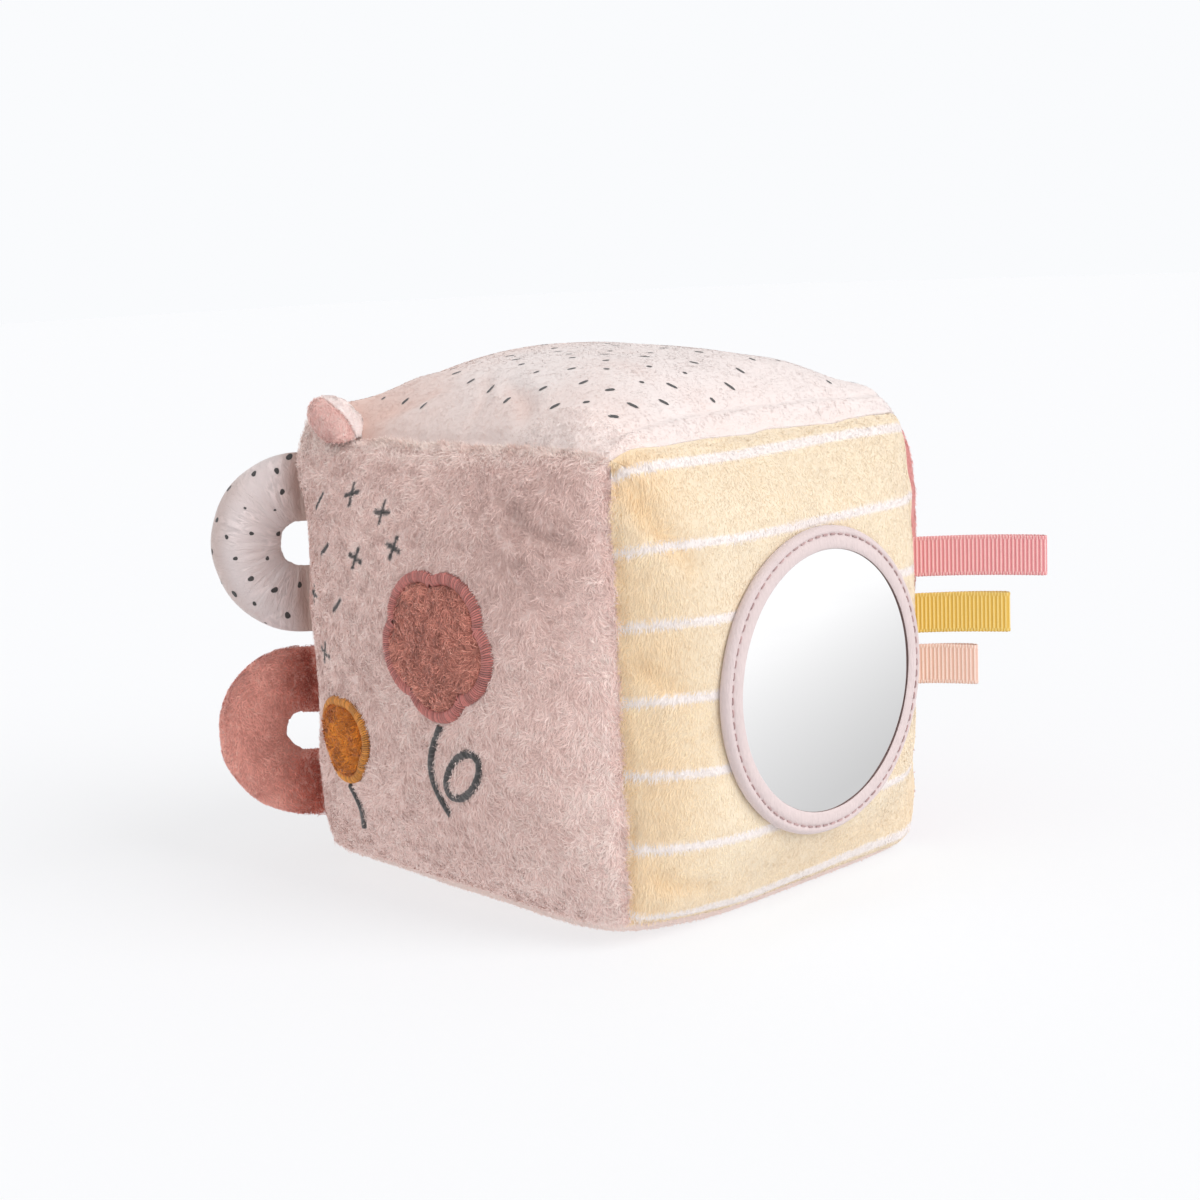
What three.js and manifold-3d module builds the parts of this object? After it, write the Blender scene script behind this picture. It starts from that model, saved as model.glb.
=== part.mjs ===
// Soft fabric block: a stuffed plush cube with a sewn-in mirror, two stuffed ring handles, three
// ribbon loops, a folded ear and two appliqués. Millimetres, +Z up.
// The origin is the middle of the flat underside. The front panel faces -Y and the mirror panel +X.
// The handles leave the corner between -X and -Y, and the ribbons the corner between +X and +Y.

import * as THREE from "three";
import { mergeVertices } from "three/addons/utils/BufferGeometryUtils.js";
import Module from "manifold-3d";

const wasm = await Module();
wasm.setup();

// Space between pieces that touch
const touchGap = 0.3;

// Block
const blockSide = 125; // between opposite seams, measured at the corners
const seamBow = 2.1; // the seams stand out this far between the drawn-in corners
const topCrown = 22;
const sideCrown = 18.5;
const mirrorPanelCrown = 19.6;
const mirrorSeatHeight = 17.4; // the stiff mirror holds its panel flat this far above the seams
const baseCrown = 14;
const baseSag = 7; // the base lies flat this far below its seams
const plushThickness = 2;

// Mirror
const mirrorDrop = 4.5; // below the middle of its panel
const mirrorRingRadius = 43.1;
const mirrorOpeningRadius = 36.4;
const mirrorPlateRadius = 38.6;
const mirrorPlateThickness = 0.8;
const mirrorBackingThickness = 1.2;
const ringLipThickness = 1.1;
const ringEdgeRadius = 1;

// Rattle
const rattleRadius = 16;
const rattleWall = 1.6;
const rattleBallRadius = 3.5;
const rattleBallSpread = 6; // from the axis of the case to the middle of each ball
const rattleBalls = 3;
const fillChannelRadius = 7; // the rattle is pushed in here before the base seam is closed

// Handles
const handleTubeRadius = 10.3; // in the plane of the ring
const handleDepthRadius = 10.3; // across the plane of the ring
const handleRootHalf = 0.6; // half the thickness where the cover is pressed flat in the seam
const handleRootStart = 0.65; // from the hinge line to the sewn end
const handleSwellLength = 24; // distance over which the tube fills out
const handleCoverThickness = 0.5;
const lowerHandleHeight = 44.3; // the middle of the ring, above the floor
const lowerHandleSpan = 52.3; // outside size along the seam
const lowerHandleReach = 30; // from the seam to the outside of the ring
const handleGap = 3.95; // between the two rings
const upperHandleSpan = 54.6;
const upperHandleReach = 28.4;
const upperHandleHeight =
  lowerHandleHeight + lowerHandleSpan / 2 + handleGap + upperHandleSpan / 2;

// Ribbons
const ribbonWidth = 12;
const ribbonThickness = 0.45;
const ribbonRootStart = 0.75;
const ribbonRootGap = 0.1; // between the two layers at the seam
const ribbonFoldGap = 2.2; // between the two layers at the folded end
const pinkRibbonHeight = 89.4; // the middle of the ribbon, above the floor
const pinkRibbonReach = 39.8;
const yellowRibbonGap = 5.2; // below the pink ribbon
const yellowRibbonReach = 28.6;
const peachRibbonGap = 3.7; // below the yellow ribbon
const peachRibbonReach = 18.7;
const yellowRibbonHeight = pinkRibbonHeight - ribbonWidth - yellowRibbonGap;
const peachRibbonHeight = yellowRibbonHeight - ribbonWidth - peachRibbonGap;

// Ear
const earLength = 25; // along the seam
const earHeight = 13;
const earLayerHalf = 2.7; // half the thickness of each layer where it is fullest
const earCornerDistance = 3.5; // from the corner of the block to the near end
const earRootStart = 0.8;
const earLayerLean = 22; // degrees between each layer and the middle of the ear
const earStand = 103; // degrees between the middle of the ear and straight ahead

// Appliqués on the front panel, placed from its middle
const patchThickness = 1.6;
const borderHeight = 1.7;
const flowerRadius = 18;
const flowerBorderWidth = 3.3;
const flowerRight = 14;
const flowerUp = 12;
const flowerStemWidth = 2.2;
const flowerStemLength = 25;
const flowerStemSway = 5;
const leafLength = 17;
const leafWidth = 9;
const leafRight = 1.5; // from the middle of the flower to the foot of the leaf
const leafDrop = 19; // below the top of the stem
const budRadius = 10.5;
const budBorderWidth = 2.6;
const budRight = -30;
const budUp = -20;
const budStemWidth = 1.9;
const budStemLength = 14;
const budStemSway = 2.5;
const threadHeight = 0.9;
const stemGap = 0.8; // between a border and the stem that starts under it

// Shapes without a size: powers, counts, and shares of the sizes that they follow
const seamBowPower = 9.5;
const crownPower = 3.8;
const panelCells = 12;
const handleSides = 12;
const handleArcSteps = 14;
const handlePinchedLoops = 2; // at each end of the tube, too flat to hold any filling
const ribbonFoldSteps = 8;
const earStations = 9;
const earSidePoints = 6;
const earPeakPower = 0.7; // below 1 moves the tip of the ear towards the corner
const flowerPetals = 5;
const flowerPetalShare = 0.2; // depth of the notch between petals
const budPetals = 3;
const budPetalShare = 0.16;
const notchSoftShare = 0.04;
const patchRingShares = [0.35, 0.7, 0.93, 1];
const patchDomeShares = [1, 0.98, 0.85, 0.45];
const borderSteps = 60; // a multiple of both petal counts
const stemSteps = 10;
const leafSteps = 20;
const tangentShare = 0.125; // of a step, to either side of a point, for the direction there
const roundSegments = 48;
const smallRoundSegments = 20;
const edgeRoundSteps = 2;
const halfRoundShares = [[1, 0], [-1, 0], [-0.7, 0.75], [0, 1], [0.7, 0.75]]; // across, up

const halfBlock = blockSide / 2;
const seamReach = halfBlock + seamBow; // from the middle of the block to the bowed seams
const blockCentre = new THREE.Vector3(0, 0, halfBlock + baseSag);
const xAxis = new THREE.Vector3(1, 0, 0);
const yAxis = new THREE.Vector3(0, 1, 0);
const zAxis = new THREE.Vector3(0, 0, 1);
const xBack = xAxis.clone().negate();
const yBack = yAxis.clone().negate();
const zBack = zAxis.clone().negate();

function finish(color, roughness, metalness = 0) {
  return new THREE.MeshStandardMaterial({ color, roughness, metalness });
}

const finishes = {
  dustyPinkPlush: finish(0xd6bab2, 0.95),
  yellowPlush: finish(0xf4deb4, 0.95),
  palePinkPlush: finish(0xecdedb, 0.93),
  coralPlush: finish(0xde8c8c, 0.95),
  peachPlush: finish(0xedcdb8, 0.95),
  rosePlush: finish(0xbe736c, 0.97),
  earPlush: finish(0xf5cdcb, 0.94),
  earSatin: finish(0xf7dad8, 0.6),
  dottedJersey: finish(0xe4dcdc, 0.85),
  ringFabric: finish(0xe4d4d9, 0.7),
  mirror: finish(0xf2f4f5, 0.05, 1),
  felt: finish(0xd9d5cf, 0.98),
  fibre: finish(0xf8f7f3, 1),
  rattlePlastic: finish(0xf3efe6, 0.4),
  ballPlastic: finish(0xe7b34e, 0.35),
  pinkRibbon: finish(0xe7828c, 0.6),
  yellowRibbon: finish(0xe4ba4b, 0.6),
  peachRibbon: finish(0xf0c3af, 0.6),
  roseThread: finish(0xbe5f5f, 0.5),
  ochrePlush: finish(0xbe7323, 0.95),
  ochreThread: finish(0xd69132, 0.5),
  charcoalThread: finish(0x4b4948, 0.6),
};

const block = new THREE.Group();

function addPiece(parent, name, geometry, material) {
  const mesh = new THREE.Mesh(geometry, material);
  mesh.name = name;
  parent.add(mesh);
}

// Closed surfaces from rows, loops and fans of points

function weld(geometry) {
  geometry.deleteAttribute("normal");
  geometry.deleteAttribute("uv");
  return mergeVertices(geometry);
}

function surface(corners) {
  const positions = new Float32Array(corners.flatMap((point) => point.toArray()));
  const geometry = new THREE.BufferGeometry();
  geometry.setAttribute("position", new THREE.BufferAttribute(positions, 3));
  return weld(geometry);
}

// Seen from outside, the rows follow each other to the right and each row runs up.
// Each square is split along the diagonal that points to the middle of the grid.
function gridCorners(rows) {
  const corners = [];
  const middle = (rows.length - 1) / 2;
  for (let i = 0; i + 1 < rows.length; i++) {
    for (let j = 0; j + 1 < rows[i].length; j++) {
      const square = [rows[i][j], rows[i + 1][j], rows[i + 1][j + 1], rows[i][j + 1]];
      if (i < middle !== j < middle) square.push(square.shift());
      corners.push(square[0], square[1], square[2], square[0], square[2], square[3]);
    }
  }
  return corners;
}

function turnedInward(corners) {
  const inward = [];
  for (let i = 0; i < corners.length; i += 3) {
    inward.push(corners[i], corners[i + 2], corners[i + 1]);
  }
  return inward;
}

// A wall between two loops. Seen from above the high loop, both run anticlockwise.
function bandCorners(lowLoop, highLoop) {
  return lowLoop.flatMap((low, k) => {
    const next = (k + 1) % lowLoop.length;
    return [low, lowLoop[next], highLoop[next], low, highLoop[next], highLoop[k]];
  });
}

function capCorners(loop, middle) {
  return loop.flatMap((point, k) => [middle, point, loop[(k + 1) % loop.length]]);
}

function reversed(loop) {
  return [...loop].reverse();
}

function centroid(loop) {
  const sum = loop.reduce((total, point) => total.add(point), new THREE.Vector3());
  return sum.divideScalar(loop.length);
}

// Loops along a path, each turning right-handed round the direction of travel
function loftCorners(loops) {
  return loops.slice(1).flatMap((loop, k) => bandCorners(loops[k], loop));
}

function closedLoft(loops, startPoint, endPoint) {
  const first = loops[0];
  const last = loops[loops.length - 1];
  return surface([
    ...loftCorners(loops),
    ...capCorners(reversed(first), startPoint ?? centroid(first)),
    ...capCorners(last, endPoint ?? centroid(last)),
  ]);
}

function turned(profile, segments) {
  const points = profile.map(([radius, height]) => new THREE.Vector2(radius, height));
  return weld(new THREE.LatheGeometry(points, segments));
}

// Joining and cutting

function toSolid(geometry) {
  const { position } = geometry.attributes;
  const mesh = new wasm.Mesh({
    numProp: 3,
    vertProperties: position.array,
    triVerts: new Uint32Array(geometry.index.array),
  });
  return new wasm.Manifold(mesh);
}

function toGeometry(solid) {
  const mesh = solid.getMesh();
  const geometry = new THREE.BufferGeometry();
  geometry.setAttribute("position", new THREE.BufferAttribute(mesh.vertProperties, mesh.numProp));
  geometry.setIndex(new THREE.BufferAttribute(mesh.triVerts, 1));
  return geometry;
}

// Panels

const panels = {
  front_panel: { right: xAxis, up: zAxis, out: yBack, crown: sideCrown, finish: "dustyPinkPlush" },
  mirror_panel: {
    right: yAxis, up: zAxis, out: xAxis, crown: mirrorPanelCrown, flat: mirrorSeatHeight,
    finish: "yellowPlush",
  },
  ribbon_panel: { right: xBack, up: zAxis, out: yAxis, crown: sideCrown, finish: "coralPlush" },
  handle_panel: { right: yBack, up: zAxis, out: xBack, crown: sideCrown, finish: "peachPlush" },
  top_panel: { right: xAxis, up: yAxis, out: zAxis, crown: topCrown, finish: "palePinkPlush" },
  base_panel: {
    right: xAxis, up: yBack, out: zBack, crown: baseCrown, flat: baseSag,
    finish: "palePinkPlush",
  },
};

// A point of a panel, where across and along run from -1 to 1 between its seams. The inset is the
// depth below the outside, and the lift stands out from it. Neighbouring panels share their seam.
function panelPoint(panel, across, along, { inset = 0, lift = 0, seamGap = 0 } = {}) {
  const half = halfBlock - inset;
  const bowAcross = 1 - Math.abs(across) ** seamBowPower;
  const bowAlong = 1 - Math.abs(along) ** seamBowPower;
  const dome = (1 - Math.abs(across) ** crownPower) * (1 - Math.abs(along) ** crownPower);
  const rise = seamBow * (1 - (1 - bowAcross) * (1 - bowAlong)) + panel.crown * dome;
  const drawnIn = 1 - (seamGap * Math.SQRT1_2) / half;
  return blockCentre
    .clone()
    .addScaledVector(panel.right, drawnIn * across * (half + seamBow * bowAlong))
    .addScaledVector(panel.up, drawnIn * along * (half + seamBow * bowAcross))
    .addScaledVector(panel.out, half + Math.min(rise, panel.flat ?? Infinity) + lift);
}

// The rows lie closer together towards the seams, where the panel curves most.
const cellShares = Array.from(
  { length: panelCells + 1 },
  (_, i) => Math.sin((i / panelCells - 1 / 2) * Math.PI),
);

function panelRows(panel, options) {
  return cellShares.map((across) =>
    cellShares.map((along) => panelPoint(panel, across, along, options)),
  );
}

function edgeLoop(rows) {
  const last = rows.length - 1;
  return [
    ...rows.slice(0, last).map((row) => row[0]),
    ...rows[last].slice(0, last),
    ...reversed(rows.slice(1)).map((row) => row[last]),
    ...reversed(rows[0].slice(1)),
  ];
}

function makePanels() {
  for (const [name, panel] of Object.entries(panels)) {
    const outside = panelRows(panel, { seamGap: touchGap });
    const inside = panelRows(panel, { seamGap: touchGap, inset: plushThickness });
    const corners = [
      ...gridCorners(outside),
      ...turnedInward(gridCorners(inside)),
      ...bandCorners(edgeLoop(inside), edgeLoop(outside)),
    ];
    addPiece(block, name, surface(corners), finishes[panel.finish]);
  }
}

// Fibre filling, with a pocket round the rattle and the channel that it went in through

function makeStuffing() {
  const inset = plushThickness + touchGap;
  const corners = Object.values(panels).flatMap((panel) => gridCorners(panelRows(panel, { inset })));
  const pocket = weld(
    new THREE.SphereGeometry(rattleRadius + touchGap, smallRoundSegments, smallRoundSegments / 2),
  );
  const channel = weld(
    new THREE.CylinderGeometry(fillChannelRadius, fillChannelRadius, blockSide, smallRoundSegments),
  );
  pocket.rotateX(Math.PI / 2);
  pocket.translate(...blockCentre.toArray());
  channel.rotateX(Math.PI / 2);
  channel.translate(0, 0, blockCentre.z - blockSide / 2);
  const filling = toSolid(surface(corners)).subtract(toSolid(pocket)).subtract(toSolid(channel));
  addPiece(block, "stuffing", toGeometry(filling), finishes.fibre);
}

// Rattle: two half shells and three loose balls that rest in the lower one

function arcPoints(radius, from, to, steps, [centreRadius, centreHeight] = [0, 0]) {
  return Array.from({ length: steps + 1 }, (_, i) => {
    const angle = from + ((to - from) * i) / steps;
    return [centreRadius + radius * Math.cos(angle), centreHeight + radius * Math.sin(angle)];
  });
}

function makeRattle() {
  const group = new THREE.Group();
  group.position.copy(blockCentre);
  group.rotation.x = Math.PI / 2;
  block.add(group);
  const insideRadius = rattleRadius - rattleWall;
  const arcSteps = smallRoundSegments / 4;
  const rimAngle = touchGap / 2 / rattleRadius;
  const halfShell = [
    ...arcPoints(rattleRadius, -Math.PI / 2, -rimAngle, arcSteps),
    ...arcPoints(insideRadius, -rimAngle, -Math.PI / 2, arcSteps),
  ].map(([radius, height]) => [Math.max(radius, 0), height]);
  const lower = turned(halfShell, smallRoundSegments);
  const upper = lower.clone().rotateZ(Math.PI);
  addPiece(group, "rattle_case_lower", lower, finishes.rattlePlastic);
  addPiece(group, "rattle_case_upper", upper, finishes.rattlePlastic);
  const restRadius = insideRadius - rattleBallRadius - touchGap;
  const restDrop = Math.sqrt(restRadius ** 2 - rattleBallSpread ** 2);
  for (let i = 0; i < rattleBalls; i++) {
    const ball = new THREE.SphereGeometry(rattleBallRadius, smallRoundSegments / 2, arcSteps);
    const angle = (i * 2 * Math.PI) / rattleBalls;
    ball.translate(
      rattleBallSpread * Math.cos(angle), -restDrop, rattleBallSpread * Math.sin(angle),
    );
    addPiece(group, `rattle_ball_${i + 1}`, weld(ball), finishes.ballPlastic);
  }
}

// Mirror: backing, plate, and the fabric ring that holds the plate's rim. Heights are from the seat.

function makeMirror() {
  const group = new THREE.Group();
  group.position.set(halfBlock + mirrorSeatHeight, 0, blockCentre.z - mirrorDrop);
  group.rotation.z = -Math.PI / 2;
  block.add(group);
  const backingTop = touchGap + mirrorBackingThickness;
  const plateBottom = backingTop + touchGap;
  const plateTop = plateBottom + mirrorPlateThickness;
  const lipBottom = plateTop + touchGap;
  const ringTop = lipBottom + ringLipThickness;
  const seatRadius = mirrorPlateRadius + touchGap;
  const disc = (low, high) => turned(
    [[0, low], [mirrorPlateRadius, low], [mirrorPlateRadius, high], [0, high]],
    roundSegments,
  );
  const edge = (from, to, middleRadius) => arcPoints(
    ringEdgeRadius, from, to, edgeRoundSteps, [middleRadius, ringTop - ringEdgeRadius],
  );
  const ringProfile = [
    [mirrorRingRadius, touchGap],
    ...edge(0, Math.PI / 2, mirrorRingRadius - ringEdgeRadius),
    ...edge(Math.PI / 2, Math.PI, mirrorOpeningRadius + ringEdgeRadius),
    [mirrorOpeningRadius, lipBottom],
    [seatRadius, lipBottom],
    [seatRadius, touchGap],
    [mirrorRingRadius, touchGap],
  ];
  addPiece(group, "mirror_backing", disc(touchGap, backingTop), finishes.felt);
  addPiece(group, "mirror_plate", disc(plateBottom, plateTop), finishes.mirror);
  addPiece(group, "mirror_ring", turned(ringProfile, roundSegments), finishes.ringFabric);
}

// Handles: a stuffed tube bent to a ring, both ends pressed flat in the seam. Each is drawn in its
// own frame, with x out from the hinge line, z along it and y across the ring.

function handleLoops(span, reach, inset) {
  const bendRadius = span / 2 - handleTubeRadius;
  const bendCentre = reach - span / 2;
  const rootStart = handleRootStart + inset / 2;
  const stations = [{ out: rootStart, angle: Math.PI / 2 }];
  for (let i = 0; i <= handleArcSteps; i++) {
    stations.push({ out: bendCentre, angle: Math.PI * (1 / 2 - i / handleArcSteps) });
  }
  stations.push({ out: rootStart, angle: -Math.PI / 2 });
  return stations.map(({ out, angle }) =>
    Array.from({ length: handleSides }, (_, k) => {
      const turn = (k * 2 * Math.PI) / handleSides;
      const coverBend = bendRadius + handleTubeRadius * Math.cos(turn);
      const fromSeam = out + coverBend * Math.cos(angle) - handleRootStart;
      const swell = 1 - (1 - Math.min(fromSeam / handleSwellLength, 1)) ** 2;
      const depth = handleRootHalf + (handleDepthRadius - handleRootHalf) * swell - inset;
      const fromBend = coverBend - inset * Math.cos(turn);
      return new THREE.Vector3(
        out + fromBend * Math.cos(angle), -depth * Math.sin(turn), fromBend * Math.sin(angle),
      );
    }),
  );
}

function coverCorners(outer, inner) {
  const last = outer.length - 1;
  return [
    ...loftCorners(outer),
    ...turnedInward(loftCorners(inner)),
    ...bandCorners(reversed(outer[0]), reversed(inner[0])),
    ...bandCorners(outer[last], inner[last]),
  ];
}

function makeHandle(name, height, span, reach, material) {
  const group = new THREE.Group();
  group.position.set(-seamReach, -seamReach, height);
  group.rotation.z = (-3 * Math.PI) / 4;
  block.add(group);
  const cover = coverCorners(
    handleLoops(span, reach, 0),
    handleLoops(span, reach, handleCoverThickness),
  );
  addPiece(group, `${name}_cover`, surface(cover), material);
  const filling = handleLoops(span, reach, handleCoverThickness + touchGap);
  const filled = filling.slice(handlePinchedLoops, -handlePinchedLoops);
  addPiece(group, `${name}_stuffing`, closedLoft(filled), finishes.fibre);
}

// Ribbons: a strip folded in half, its two ends sewn into the seam

function makeRibbon(name, height, reach, material) {
  const foldHalf = ribbonFoldGap / 2 + ribbonThickness;
  const rootHalf = ribbonRootGap / 2 + ribbonThickness;
  const foldCentre = reach - foldHalf;
  const shape = new THREE.Shape();
  shape.moveTo(ribbonRootStart, -rootHalf);
  shape.absarc(foldCentre, 0, foldHalf, -Math.PI / 2, Math.PI / 2, false);
  shape.lineTo(ribbonRootStart, rootHalf);
  shape.lineTo(ribbonRootStart, ribbonRootGap / 2);
  shape.absarc(foldCentre, 0, ribbonFoldGap / 2, Math.PI / 2, -Math.PI / 2, true);
  shape.lineTo(ribbonRootStart, -ribbonRootGap / 2);
  shape.closePath();
  const strip = new THREE.ExtrudeGeometry(shape, {
    depth: ribbonWidth, bevelEnabled: false, curveSegments: ribbonFoldSteps,
  });
  const group = new THREE.Group();
  group.position.set(seamReach, seamReach, height - ribbonWidth / 2);
  group.rotation.z = Math.PI / 4;
  block.add(group);
  addPiece(group, name, weld(strip), material);
}

// Ear: two padded layers on one hinge line along the seam between the front and the top.
// The frame has x along the seam away from the corner, y out from it and z down over the front.

// Rounds a layer off towards the seam and towards its free edge. The fullest value is 1.
function pillow(up) {
  return (3 ** (3 / 4) / Math.SQRT2) * up * Math.sqrt(1 - up ** 4);
}

function earLayer(lean) {
  const direction = THREE.MathUtils.degToRad(lean);
  const out = new THREE.Vector3(0, Math.cos(direction), Math.sin(direction));
  const side = new THREE.Vector3(0, -Math.sin(direction), Math.cos(direction));
  const place = (x, height, offset) => new THREE.Vector3(x, 0, 0)
    .addScaledVector(out, earRootStart + height)
    .addScaledVector(side, offset);
  const loops = [];
  for (let i = 1; i < earStations; i++) {
    const share = i / earStations;
    const height = earHeight * Math.sin(Math.PI * share ** earPeakPower);
    const half = (earLayerHalf * height) / earHeight;
    const front = [];
    const back = [];
    for (let k = 0; k <= earSidePoints; k++) {
      const up = Math.sin((k / earSidePoints) * (Math.PI / 2));
      const bulge = half * pillow(up);
      front.push(place(share * earLength, height * up, bulge));
      back.push(place(share * earLength, height * up, -bulge));
    }
    loops.push([...front, ...reversed(back.slice(1, -1))].reverse());
  }
  return closedLoft(loops, place(0, 0, 0), place(earLength, 0, 0));
}

function makeEar() {
  const group = new THREE.Group();
  group.position.set(
    earCornerDistance - halfBlock, -seamReach, blockCentre.z + seamReach,
  );
  group.rotation.x = THREE.MathUtils.degToRad(earStand);
  block.add(group);
  addPiece(group, "ear_lining", earLayer(-earLayerLean), finishes.earSatin);
  addPiece(group, "ear_plush", earLayer(earLayerLean), finishes.earPlush);
}

// Appliqués: padded patches with a stitched border, and thread lines that lie on the front panel

function onFront(right, up, lift) {
  return panelPoint(panels.front_panel, right / seamReach, up / seamReach, { lift });
}

// Round petals with a notch between them, one petal pointing down at the stem
function petalOutline(radius, petals, notchShare) {
  return (turn) => {
    const petal = Math.abs(Math.cos((petals * (turn + Math.PI / 2)) / 2));
    return radius * (1 - notchShare * (1 - Math.sqrt(petal + notchSoftShare)));
  };
}

function patchCorners(right, up, outline) {
  const loopAt = (share, lift) => Array.from({ length: borderSteps }, (_, k) => {
    const turn = (k * 2 * Math.PI) / borderSteps;
    const reach = share * outline(turn);
    return onFront(right + reach * Math.cos(turn), up + reach * Math.sin(turn), lift);
  });
  const tops = patchRingShares.map((share, i) =>
    loopAt(share, touchGap + patchThickness * patchDomeShares[i]),
  );
  const bottoms = patchRingShares.map((share) => loopAt(share, touchGap));
  const last = tops.length - 1;
  return [
    ...capCorners(tops[0], onFront(right, up, touchGap + patchThickness)),
    ...loftCorners(reversed(tops)),
    ...bandCorners(bottoms[last], tops[last]),
    ...loftCorners(bottoms),
    ...capCorners(reversed(bottoms[0]), onFront(right, up, touchGap)),
  ];
}

// A half-round line of thread. Each station is a place on the panel and the direction to its right.
function threadLoops(stations, width, height) {
  return stations.map(({ right, up, sideRight, sideUp }) =>
    halfRoundShares.map(([acrossShare, upShare]) => onFront(
      right + (sideRight * acrossShare * width) / 2,
      up + (sideUp * acrossShare * width) / 2,
      touchGap + upShare * height,
    )),
  );
}

function borderGeometry(right, up, outline, width) {
  const stations = Array.from({ length: borderSteps }, (_, k) => {
    const turn = (k * 2 * Math.PI) / borderSteps;
    const sideRight = Math.cos(turn);
    const sideUp = Math.sin(turn);
    const reach = outline(turn) + touchGap + width / 2;
    return { right: right + reach * sideRight, up: up + reach * sideUp, sideRight, sideUp };
  });
  const loops = threadLoops(stations, width, borderHeight);
  return surface(loftCorners([...loops, loops[0]]));
}

// Stations along a path given by a function of the share from 0 to 1
function pathStations(path, steps) {
  return Array.from({ length: steps + 1 }, (_, i) => {
    const share = i / steps;
    const nudge = tangentShare / steps;
    const before = path(share - nudge);
    const after = path(share + nudge);
    const here = path(share);
    const travel = after.clone().sub(before).normalize();
    return { right: here.x, up: here.y, sideRight: travel.y, sideUp: -travel.x };
  });
}

function stemGeometry(right, up, length, sway, width) {
  const path = (share) => new THREE.Vector2(
    right + sway * Math.sin(share * Math.PI),
    up - share * length,
  );
  return closedLoft(threadLoops(pathStations(path, stemSteps), width, threadHeight));
}

// An oval outline of one line of thread, with its foot beside the stem
function leafGeometry(right, up, width) {
  const path = (share) => {
    const turn = share * 2 * Math.PI;
    const along = (leafLength / 2) * (1 - Math.cos(turn));
    const across = (leafWidth / 2) * Math.sin(turn);
    return new THREE.Vector2(
      right + (along - across) * Math.SQRT1_2,
      up + (along + across) * Math.SQRT1_2,
    );
  };
  const loops = threadLoops(pathStations(path, leafSteps).slice(1), width, threadHeight);
  return surface(loftCorners([...loops, loops[0]]));
}

function makeAppliques() {
  const flower = petalOutline(flowerRadius, flowerPetals, flowerPetalShare);
  const bud = petalOutline(budRadius, budPetals, budPetalShare);
  const stemTop = flower(-Math.PI / 2) + touchGap + flowerBorderWidth + stemGap;
  const budStemTop = bud(-Math.PI / 2) + touchGap + budBorderWidth + stemGap;
  addPiece(block, "flower_patch", surface(patchCorners(flowerRight, flowerUp, flower)),
    finishes.rosePlush);
  addPiece(block, "flower_border", borderGeometry(flowerRight, flowerUp, flower, flowerBorderWidth),
    finishes.roseThread);
  addPiece(block, "flower_stem",
    stemGeometry(flowerRight, flowerUp - stemTop, flowerStemLength, -flowerStemSway,
      flowerStemWidth),
    finishes.charcoalThread);
  addPiece(block, "flower_leaf",
    leafGeometry(flowerRight + leafRight, flowerUp - stemTop - leafDrop, flowerStemWidth),
    finishes.charcoalThread);
  addPiece(block, "bud_patch", surface(patchCorners(budRight, budUp, bud)), finishes.ochrePlush);
  addPiece(block, "bud_border", borderGeometry(budRight, budUp, bud, budBorderWidth),
    finishes.ochreThread);
  addPiece(block, "bud_stem",
    stemGeometry(budRight, budUp - budStemTop, budStemLength, budStemSway, budStemWidth),
    finishes.charcoalThread);
}

makePanels();
makeStuffing();
makeRattle();
makeMirror();
makeHandle("upper_handle", upperHandleHeight, upperHandleSpan, upperHandleReach,
  finishes.dottedJersey);
makeHandle("lower_handle", lowerHandleHeight, lowerHandleSpan, lowerHandleReach,
  finishes.rosePlush);
makeRibbon("pink_ribbon", pinkRibbonHeight, pinkRibbonReach, finishes.pinkRibbon);
makeRibbon("yellow_ribbon", yellowRibbonHeight, yellowRibbonReach, finishes.yellowRibbon);
makeRibbon("peach_ribbon", peachRibbonHeight, peachRibbonReach, finishes.peachRibbon);
makeEar();
makeAppliques();

export default block;
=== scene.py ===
# Looks of the soft fabric block: plush panels round a fibre filling, a round mirror under a sewn ring,
# two ring handles, three ribbon loops, an ear and two flower patches. Sizes are in millimetres.
import itertools
import math

import bpy
import numpy as np
from mathutils import Matrix, Vector


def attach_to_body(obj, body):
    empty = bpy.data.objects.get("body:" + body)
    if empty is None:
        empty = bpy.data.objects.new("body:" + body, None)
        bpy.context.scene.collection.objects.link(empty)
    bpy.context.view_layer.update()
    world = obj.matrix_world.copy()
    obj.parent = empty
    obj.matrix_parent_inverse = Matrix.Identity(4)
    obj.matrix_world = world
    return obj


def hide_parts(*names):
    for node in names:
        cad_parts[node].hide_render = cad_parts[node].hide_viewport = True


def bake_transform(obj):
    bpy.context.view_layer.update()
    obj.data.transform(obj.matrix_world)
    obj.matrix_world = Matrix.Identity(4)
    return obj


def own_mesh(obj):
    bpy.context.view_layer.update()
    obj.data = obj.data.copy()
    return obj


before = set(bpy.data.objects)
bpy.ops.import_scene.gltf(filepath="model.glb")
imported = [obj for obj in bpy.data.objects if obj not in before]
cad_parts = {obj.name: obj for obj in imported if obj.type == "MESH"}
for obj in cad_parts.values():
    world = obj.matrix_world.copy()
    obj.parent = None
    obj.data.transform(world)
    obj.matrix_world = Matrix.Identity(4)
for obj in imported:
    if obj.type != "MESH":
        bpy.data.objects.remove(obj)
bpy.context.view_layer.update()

MM = 0.001
TAU = 2 * math.pi
DIAGONAL = math.sqrt(0.5)
X_AXIS, Y_AXIS, Z_AXIS = np.eye(3)

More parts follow.
